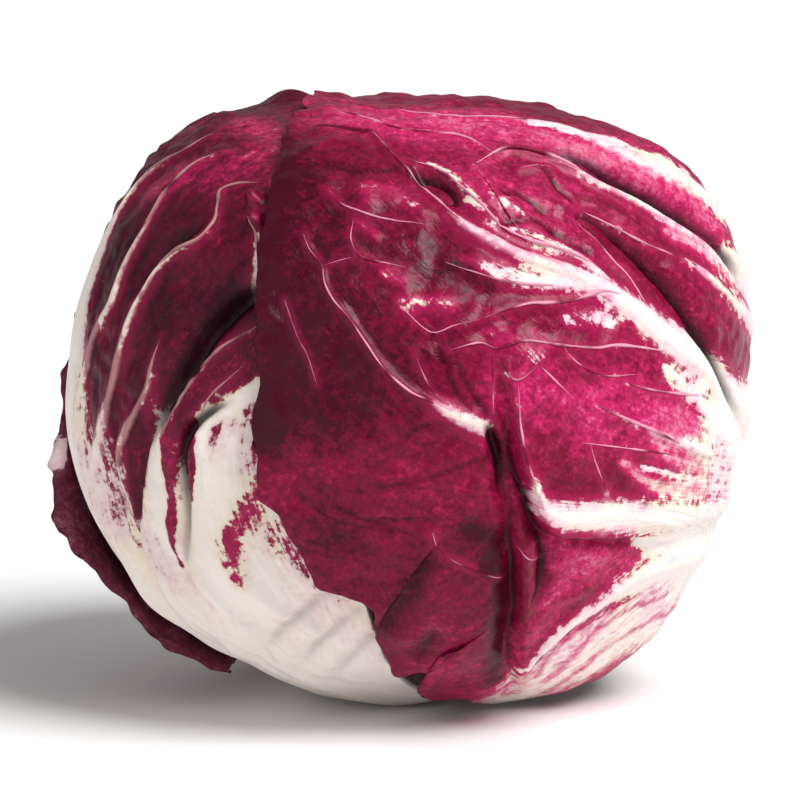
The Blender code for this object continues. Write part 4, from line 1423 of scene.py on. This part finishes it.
# %% Strokes on the left leaf
left_strokes = [
    tint([(-60, 28, 9), (-50, 22, 9), (-40, 20, 8), (-30, 26, 8)], -0.8),
    tint([(-70, 14, 5), (-66, 24, 6), (-76, 34, 6), (-80, 44, 5)], -0.7),
    tint([(-50, -6, 6), (-40, -10, 6), (-36, 4, 5)], -0.2),
    ([(-26, -2, 6), (-28, -14, 8), (-30, -28, 9)], 3.5, None, 0),
    ([(-34, 2, 1.6), (-29, 5, 2.2), (-23, 9, 2.2)], 2.2, None, 0.3),
    ([(-42, 2, 2.4), (-42.5, -5, 4.2), (-43.5, -12, 4.6), (-44, -20, 4)], 2.4, 0.3, 0),
    ([(-34, 2, 1.6), (-34, -6, 2), (-35, -16, 2.6)], 2.2, 0.3, 0),
    ([(-62.5, 14, 1.7), (-61, 8, 1.6), (-59, 3, 1.3), (-57.5, -2, 0.8)], -4, -0.4, 0),
    ([(-54, 14, 1.4), (-53.5, 6, 1.5), (-53, 0, 1.2), (-51.5, -5.5, 0.8)], -4, -0.2, 0),
    ([(-46.5, 7, 1.2), (-47.5, -1, 1.3), (-48.5, -8, 1.1), (-50, -15, 0.7)], -4, -0.2, 0),
    ([(-41, 3, 1.4), (-40.5, -4, 1.3), (-41, -12, 1.1), (-42, -18, 0.9),
      (-43, -24, 0.5)], -2.6, 0.5, 0),
    ([(-36, -1, 0.8), (-36, -5, 1), (-36.5, -11, 0.5)], -2.6, 0.3, 0),
    ([(-24, 1, 3), (-25, -8, 4.2), (-24, -14, 4.6), (-20, -20, 3.6)], -0.1, 0.85, 0.2),
    ([(-27, -13, 2.4), (-30, -19, 3.2), (-29.5, -25, 2.8)], -0.8, 0.85, 0.2),
    tint([(-66, 40, 5), (-54, 46, 6), (-46, 54, 7), (-40, 60, 7)], 0.7),
    ([(-38, 43, 2), (-34, 41, 2.4), (-31, 38, 2)], -4, 0.8, 0),
    ([(-34, 46, 1.4), (-31, 45, 1.6)], -4, 0.8, 0),
    ([(-30, 35, 0.8), (-28.5, 30, 0.7)], 0.2, 0.7, 1),
    tint([(-72, 60, 4), (-56, 62, 5)], 0.9),
    tint([(-112, 66, 6), (-104, 70, 6), (-92, 72, 5)], -0.1),
]
print("left leaf has", len(left_strokes), "strokes")

# %% All the numbers of the left leaf
left_leaf = Leaf(
    "left_outer",
    left_lines,
    [(7, 0, 0.9), (8, 0, 0.9), (8, 0, 1.2), (7, 0, 0.9), (7, 0, 0.9), (6, 0, 0.8), (6, 0, 0.7)],
    across=260,
    along=330,
    rib_end=0.56,
    finish="older",
    cream_until=0.63,
    cream_fade=0.09,
    puff=0.3,
    furrow=0.8,
    lift=1.2,
    veins=left_veins,
    folds=left_folds,
    strokes=left_strokes,
)

print(left_leaf.name, "has", left_leaf.across, "x", left_leaf.along, "cells")

# fmt: on
# %% [markdown]
# ## The leaf behind on the left
#
# The outermost leaf of all. It lies close to the head, but its margin has come loose at the
# lower left, so that a wavy strip of it shows past the left leaf. It turns dull and purple
# with age.

# %% Guides of the back left leaf
back_left_leaf = Leaf(
    "back_left_outer",
    drawn(
        [
            [(165, -60), (-172, -67), (-125, -64), (-86, -59), (-62, -55)],
            [(167, -55), (-168, -57), (-132, -49), (-98, -42), (-73, -38)],
            [(167, -50), (-165, -42), (-135, -30), (-107, -22), (-81, -19)],
            [(166, -45), (-168, -25), (-140, -8), (-115, -4), (-87, -4)],
            [(163, -40), (-172, -8), (-148, 15), (-122, 18), (-96, 13)],
            [(159, -37), (178, 5), (-168, 33), (-137, 42), (-108, 36)],
            [(154, -35), (168, 12), (172, 42), (-164, 56), (-126, 57)],
        ]
    ),
    [(7, 0.2, 0.9), (8, 0.3, 1.2), (9, 0.4, 1.4), (8, 0.3, 1.2), (7, 0.2, 0.9)],
    finish="faded",
    across=196,
    along=220,
    lift=0.6,
    ruffle=0.5,
    teeth=0.6,
    strokes=[
        ([(-62, -56, 6), (-72, -40, 7), (-79, -25, 7), (-82, -17, 6)], -4, 0.2, 2.6),
        ([(-83, -10, 3.5), (-84, -6, 3.5)], 4.0, -0.5, 3.4),
        ([(-80, -17, 4), (-79, -22, 4)], None, 0.2, 2.2),
        ([(-90, 8, 4), (-93, 12, 4)], None, -0.3, 1.6),
    ],
)
print(back_left_leaf.name, "has", back_left_leaf.across, "x", back_left_leaf.along, "cells")

# %% [markdown]
# ## Leaves by rule
#
# The back, the lower right and the top are closed by leaves that follow a plain rule, and so
# are the leaves inside. A straight midline runs from the stump over the ball, and the ribs lie
# to both sides of it, each at a fixed share of the width. The width swells and then rounds off
# towards the tip. Drawing these one by one too would add nothing that the eye could check.

# %% Guide lines of a rounded leaf
STUMP_RADIUS = 12 * MM
STUMP_FACE = 55 * MM
CORE_TIP = 17 * MM
CORE_TIP_RADIUS = 5 * MM
CORE_GAP = 2 * MM
FOOT_WIDTH = 0.6
TIP_ROUNDING = 0.14
UPHILL = unit(np.array([0, 0, 1]) - STUMP[2] * STUMP)
ACROSS = np.cross(STUMP, UPHILL)


def foot_ring(radius):
    """Angle from the stump at which leaves start: the core's radius there, plus a gap."""
    share = (STUMP_FACE - radius) / (STUMP_FACE - CORE_TIP)
    core = STUMP_RADIUS + (CORE_TIP_RADIUS - STUMP_RADIUS) * max(share, 0)
    return math.degrees(math.asin((core + CORE_GAP) / radius))


def rounded(bearing, half_width, reach, ring, lines=7):
    """Midline: cos a STUMP + sin a HEADING. A rib is the midline moved sideways by a share."""
    middle = math.radians(bearing)
    heading = math.cos(middle) * UPHILL - math.sin(middle) * ACROSS
    sideways = math.sin(middle) * UPHILL + math.cos(middle) * ACROSS
    foot = FOOT_WIDTH * ring
    share = np.linspace(0, 1, 7)
    width = foot + (half_width - foot) * np.sin(share**0.8 * math.pi * 0.62)
    guides = []
    for side in np.linspace(-1, 1, lines):
        start = math.acos(math.cos(math.radians(ring)) / math.cos(math.radians(foot * side)))
        end = math.radians(reach * (1 - TIP_ROUNDING * side**2))
        angle = np.linspace(start, end, 7)[:, None]
        midline = np.cos(angle) * STUMP + np.sin(angle) * heading
        shift = np.radians(side * width)[:, None]
        guides.append(np.cos(shift) * midline + np.sin(shift) * sideways)
    return guides


print("leaves start", round(foot_ring(STUMP_FACE)), "degrees from the stump's axis")

# %% The three outer leaves that follow the rule
ring = foot_ring(STUMP_FACE)
plain_ribs = [(6, 0.2, 0.7), (8, 0.3, 1.0), (11, 0.4, 1.4), (8, 0.3, 1.0), (6, 0.2, 0.7)]
outer_leaves = [
    back_left_leaf,
    front_leaf,
    left_leaf,
    Leaf("back_right_outer", rounded(20, 62, 150, ring), plain_ribs, across=180, along=220),
    Leaf("lower_right_outer", rounded(114, 68, 100, ring), plain_ribs, across=180, along=160),
    Leaf("top_left_outer", rounded(-8, 68, 192, ring), plain_ribs, across=160, along=220),
]
for place, leaf in enumerate(outer_leaves):
    above, node = outer_leaves[:place], leaf.name + "_leaf"
    piece = build_leaf(leaf, above, 10 * place + 1, node)
    if leaf.veins:
        threads = thread_mesh(leaf, piece, seed=70 + place)
        show(leaf.name + "_veins", threads, finishes[leaf.finish])

# %% [markdown]
# ## The leaves inside
#
# Eleven more leaves lie round the heart. Each starts a golden angle, about 137.5 degrees,
# further round the stump than the one before, as leaves grow, so that they never line up.
# They hide behind the outer ones, but a part that can be cut open should have something in it.

# %% Inner leaves
INNER_PITCH = 2.6 * MM
INNER_GAP = 0.5 * MM
GOLDEN_ANGLE = 137.5
INNER_HALF_WIDTH = 70
INNER_REACH = 188
inner_nodes = sorted(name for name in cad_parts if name.startswith("inner_leaf"))
depth = LAYER_PITCH * len(outer_leaves) + INNER_GAP
for number, node in enumerate(inner_nodes):
    ring = foot_ring(min(HALF_SIZE) - depth)
    guides = rounded(GOLDEN_ANGLE * number, INNER_HALF_WIDTH, INNER_REACH, ring)
    leaf = Leaf(
        f"tender_leaf_{number + 1:02d}",
        guides,
        [(w, h, p * 0.5) for w, h, p in plain_ribs],
        finish="young",
        across=56,
        along=70,
        puff=0.0,
        crumple=0.12,
        ruffle=0.0,
    )
    build_leaf(leaf, [], 100 + 10 * number, node, depth)
    depth += INNER_PITCH

# %% [markdown]
# ## The heart
#
# At the very centre the leaves are too small to count: a bud the size of a walnut. One closed
# surface is enough. It is an egg whose radius steps up along a spiral, which looks like a bud
# of wrapped leaves without building each of them.

# %% The bud
HEART_RADIUS = 12 * MM
HEART_STRETCH = 1.12
WRAP = 0.9 * MM  # the height of the step where one small leaf ends on another


def turned(along, radius, turn):
    """Points so far along the stump's axis and so far out from it, at every turn about it."""
    upwards, across = radius * np.cos(turn), radius * np.sin(turn)
    points = along[..., None] * STUMP + upwards[..., None] * UPHILL + across[..., None] * ACROSS
    return points + CENTRE


def poles_last(grid):
    """The rings between the poles, then one value for each pole."""
    return np.concatenate([grid[1:-1].reshape(-1, *grid.shape[2:]), grid[0, :1], grid[-1, :1]])


def closed_mesh(name, points, fields):
    """A mesh from rings of points: the first ring at one pole, the last at the other."""
    rings, around = points.shape[:2]
    index = np.arange((rings - 2) * around).reshape(rings - 2, around)
    index = np.concatenate([index, index[:, :1]], axis=1)
    quads = grid_faces(index)
    first, last = (rings - 2) * around, (rings - 2) * around + 1
    fans = [
        np.stack([np.full(around, first), index[0, :-1], index[0, 1:]], axis=-1),
        np.stack([np.full(around, last), index[-1, 1:], index[-1, :-1]], axis=-1),
    ]
    mesh = bpy.data.meshes.new(name)
    faces = quads.tolist() + fans[0].tolist() + fans[1].tolist()
    mesh.from_pydata(poles_last(points).tolist(), [], faces)
    centre = points.reshape(-1, 3).mean(0)
    corners = np.array([mesh.vertices[k].co for k in faces[0]])
    if np.dot(np.cross(corners[1] - corners[0], corners[2] - corners[1]), corners[0] - centre) < 0:
        mesh.flip_normals()
    mesh.shade_smooth()
    for label, values in fields.items():
        add_field(mesh, label, poles_last(values))
    return mesh


turn = np.linspace(0, 2 * math.pi, 96, endpoint=False)[None, :]
tilt = np.linspace(0, math.pi, 60)[:, None]
spiral = (3 * turn / (2 * math.pi) + 4 * tilt / math.pi) % 1
swell = HEART_RADIUS - WRAP * (1 - spiral) * np.sin(tilt)
bud_points = turned(-HEART_STRETCH * swell * np.cos(tilt), swell * np.sin(tilt), turn)
print("bud is", round(float(np.ptp(bud_points[..., 2])) / MM), "mm high")

# %% [markdown]
# ## Flesh of the stump and the bud
#
# The stump is cut with a knife, and the cut turns tan as it dries, darkest at its rim and
# where the milky juice has run. Rings of pale dots mark the bundles of vessels. Wave textures
# could draw rings, but they look too even, so the rings are a sine of the distance from the
# middle, shaken by noise.

# %% Materials of the stump and the bud
RING_PITCH = 2.1 * MM
VESSEL_SCALE = 620  # bundles of vessels in a metre


def stump_material():
    """Tan in blots, then rings by the sine of the wavy distance, pale dots and a brown rim."""
    made, t, shader = new_material("cut_stump")
    place = add(t, "ShaderNodeTexCoord").outputs["Object"]
    from_middle, on_face = (
        add(t, "ShaderNodeAttribute", attribute_name=label).outputs["Fac"]
        for label in ("from_middle", "on_face")
    )
    blots = noise(t, place, 4 * MM, 4, 0.6)
    wavy = times_plus(t, blots, 2.2 * MM, from_middle)
    rings = calc(t, "SINE", times(t, wavy, 2 * math.pi / RING_PITCH))
    rings = times(t, ramp(t, rings, 0.2, 1.0), on_face)
    dots = {"Vector": place, "Scale": VESSEL_SCALE}
    dots = add(t, "ShaderNodeTexVoronoi", dots).outputs["Distance"]
    dots = times(t, ramp(t, dots, 0.35, 0.15), rings)
    rim = ramp(t, times_plus(t, blots, 3 * MM, from_middle), 11 * MM, 13.5 * MM)
    colour = blended(t, ramp(t, blots, 0.35, 0.7), paint(226, 206, 168), paint(196, 158, 112))
    for mask, share, over in (
        (rings, 0.4, paint(172, 128, 84)),
        (dots, 0.7, paint(240, 228, 200)),
        (rim, 0.75, paint(128, 84, 52)),
    ):
        colour = blended(t, times(t, mask, share), colour, over)
    height = times(t, noise(t, place, 1.2 * MM, 4, 0.7), 0.5 * MM)
    height = times_plus(t, rings, -0.15 * MM, height)
    bump = add(t, "ShaderNodeBump", {"Height": height, "Distance": 1.0}).outputs[0]
    roughness = times_plus(t, blots, 0.35, 0.45)
    feed(t, shader, {"Base Color": colour, "Roughness": roughness, "Normal": bump})
    return made


def bud_material():
    """Cream, with a red flush where the step of the spiral is highest."""
    made, t, shader = new_material("tender_bud")
    place = add(t, "ShaderNodeTexCoord").outputs["Object"]
    wrap = add(t, "ShaderNodeAttribute", attribute_name="wrap").outputs["Fac"]
    blots = noise(t, place, 3 * MM, 4, 0.6)
    flush = ramp(t, calc(t, "ADD", wrap, times(t, blots, 0.7)), 0.75, 1.35)
    colour = blended(t, flush, paint(238, 224, 206), paint(186, 70, 110))
    bump = add(t, "ShaderNodeBump", {"Height": blots, "Distance": 0.4 * MM}).outputs[0]
    roughness = times_plus(t, blots, 0.25, 0.28)
    feed(t, shader, {"Base Color": colour, "Roughness": roughness, "Normal": bump})
    return made


print("rings on the cut are", round(RING_PITCH / MM, 1), "mm apart")

# %% Place the bud
bud_mesh = closed_mesh("bud", bud_points, {"wrap": spiral})
show("bud", bud_mesh, bud_material(), "heart_bud")

# %% [markdown]
# ## The stump
#
# What is left of the root: a short cone under the head, cut square. It is a profile carried
# round an axis. A true turned shape would be too perfect for a root, so its radius also
# carries shallow ridges, where the first leaves were broken off.

# %% The stump's profile and its points
SCAR_DEPTH = 0.35 * MM
SCAR_PITCH = 4.2 * MM
around = np.linspace(0, 2 * math.pi, 160, endpoint=False)[None, :]
profile = np.array(
    [(0, 17), (3.6, 17), (5, 18.2), (7.4, 30), (9.6, 42), (11, 48), (11.9, 51.5), (12, 53.2)]
    + [(11.6, 54.4), (10.6, 54.95), (7, 54.8), (3, 54.55), (0, 54.5)]
)
span = np.linspace(0, 1, 120)
lengths = np.concatenate([[0], np.cumsum(np.linalg.norm(np.diff(profile, axis=0), axis=1))])
outline = np.stack([np.interp(span, lengths / lengths[-1], profile[:, k]) for k in (0, 1)], -1)
outline = outline * MM
radius, height = outline[:, :1], outline[:, 1:]
winding = 2.5 * around + height / SCAR_PITCH * math.pi
scars = SCAR_DEPTH * np.abs(np.sin(winding)) ** 0.5
side = smoothstep(19 * MM, 30 * MM, height) * smoothstep(54.2 * MM, 51 * MM, height)
radius = radius - (scars + 0.1 * MM) * side
on_face = smoothstep(53.6 * MM, 54.4 * MM, height)
stump_fields = {"from_middle": radius + 0 * around, "on_face": on_face + 0 * around}
stump_points = turned(height + 0 * around, radius, around)
stump_mesh = closed_mesh("stump_piece", stump_points, stump_fields)
show("root_stump", stump_mesh, stump_material(), "stump")

# %% [markdown]
# ## Floor, light and camera
#
# The head stands on a plain pale floor. Small lamps near it would light the floor unevenly, so
# the light comes from two suns, softened by a wide angle, and from a pale sky: the brighter
# sun over the right shoulder, the weaker one from the left to open up the shade.

# %% The floor
FLOOR_HALF = 12.0
corners = np.array([(-1, -1, 0), (1, -1, 0), (1, 1, 0), (-1, 1, 0)]) * FLOOR_HALF
floor_mesh = bpy.data.meshes.new("floor")
floor_mesh.from_pydata(corners.tolist(), [], [(0, 1, 2, 3)])
floor_paint, floor_tree, floor_shader = new_material("floor_paint")
feed(floor_tree, floor_shader, {"Base Color": (0.9, 0.9, 0.9, 1), "Roughness": 0.9})
floor_mesh.materials.append(floor_paint)
floor = bpy.data.objects.new("floor", floor_mesh)
collection.objects.link(floor)
print("floor is", 2 * FLOOR_HALF, "m wide")

# %% Suns and sky
SKY_STRENGTH = 0.3


def add_sun(name, azimuth, elevation, strength, spread):
    """A sun that shines from a direction towards the head; spread is its width in degrees."""
    sun = bpy.data.lights.new(name, "SUN")
    sun.energy = strength
    sun.angle = math.radians(spread)
    lamp = bpy.data.objects.new(name, sun)
    lamp.rotation_euler = (math.radians(90 - elevation), 0, math.radians(azimuth))
    lamp.location = direction(azimuth, elevation) * 1.0
    collection.objects.link(lamp)


add_sun("key_light", azimuth=54, elevation=52, strength=3.4, spread=30)
add_sun("fill_light", azimuth=-50, elevation=16, strength=0.6, spread=70)
world = bpy.data.worlds.new("sky")
bpy.context.scene.world = world
world.use_nodes = True
sky = world.node_tree.nodes["Background"]
feed(world.node_tree, sky, {"Color": (1, 1, 1, 1), "Strength": SKY_STRENGTH})
bpy.context.scene.view_settings.view_transform = "Standard"
print("lamps:", ", ".join(lamp.name for lamp in bpy.data.lights))

# %% Camera
CAMERA_DISTANCE = 0.62
CAMERA_ELEVATION = 8
VIEW_WIDTH = 0.1538  # what the frame is wide at the head
AIM = (0.0006, 0, 0.0564)
camera_data = bpy.data.cameras.new("camera")
camera_data.sensor_width = 36
camera_data.lens = camera_data.sensor_width * CAMERA_DISTANCE / VIEW_WIDTH
camera = bpy.data.objects.new("camera", camera_data)
camera.location = direction(0, CAMERA_ELEVATION) * CAMERA_DISTANCE + np.array(AIM)
camera.rotation_euler = (math.radians(90 - CAMERA_ELEVATION), 0, 0)
collection.objects.link(camera)
bpy.context.scene.camera = camera
print("lens", round(camera_data.lens), "mm")
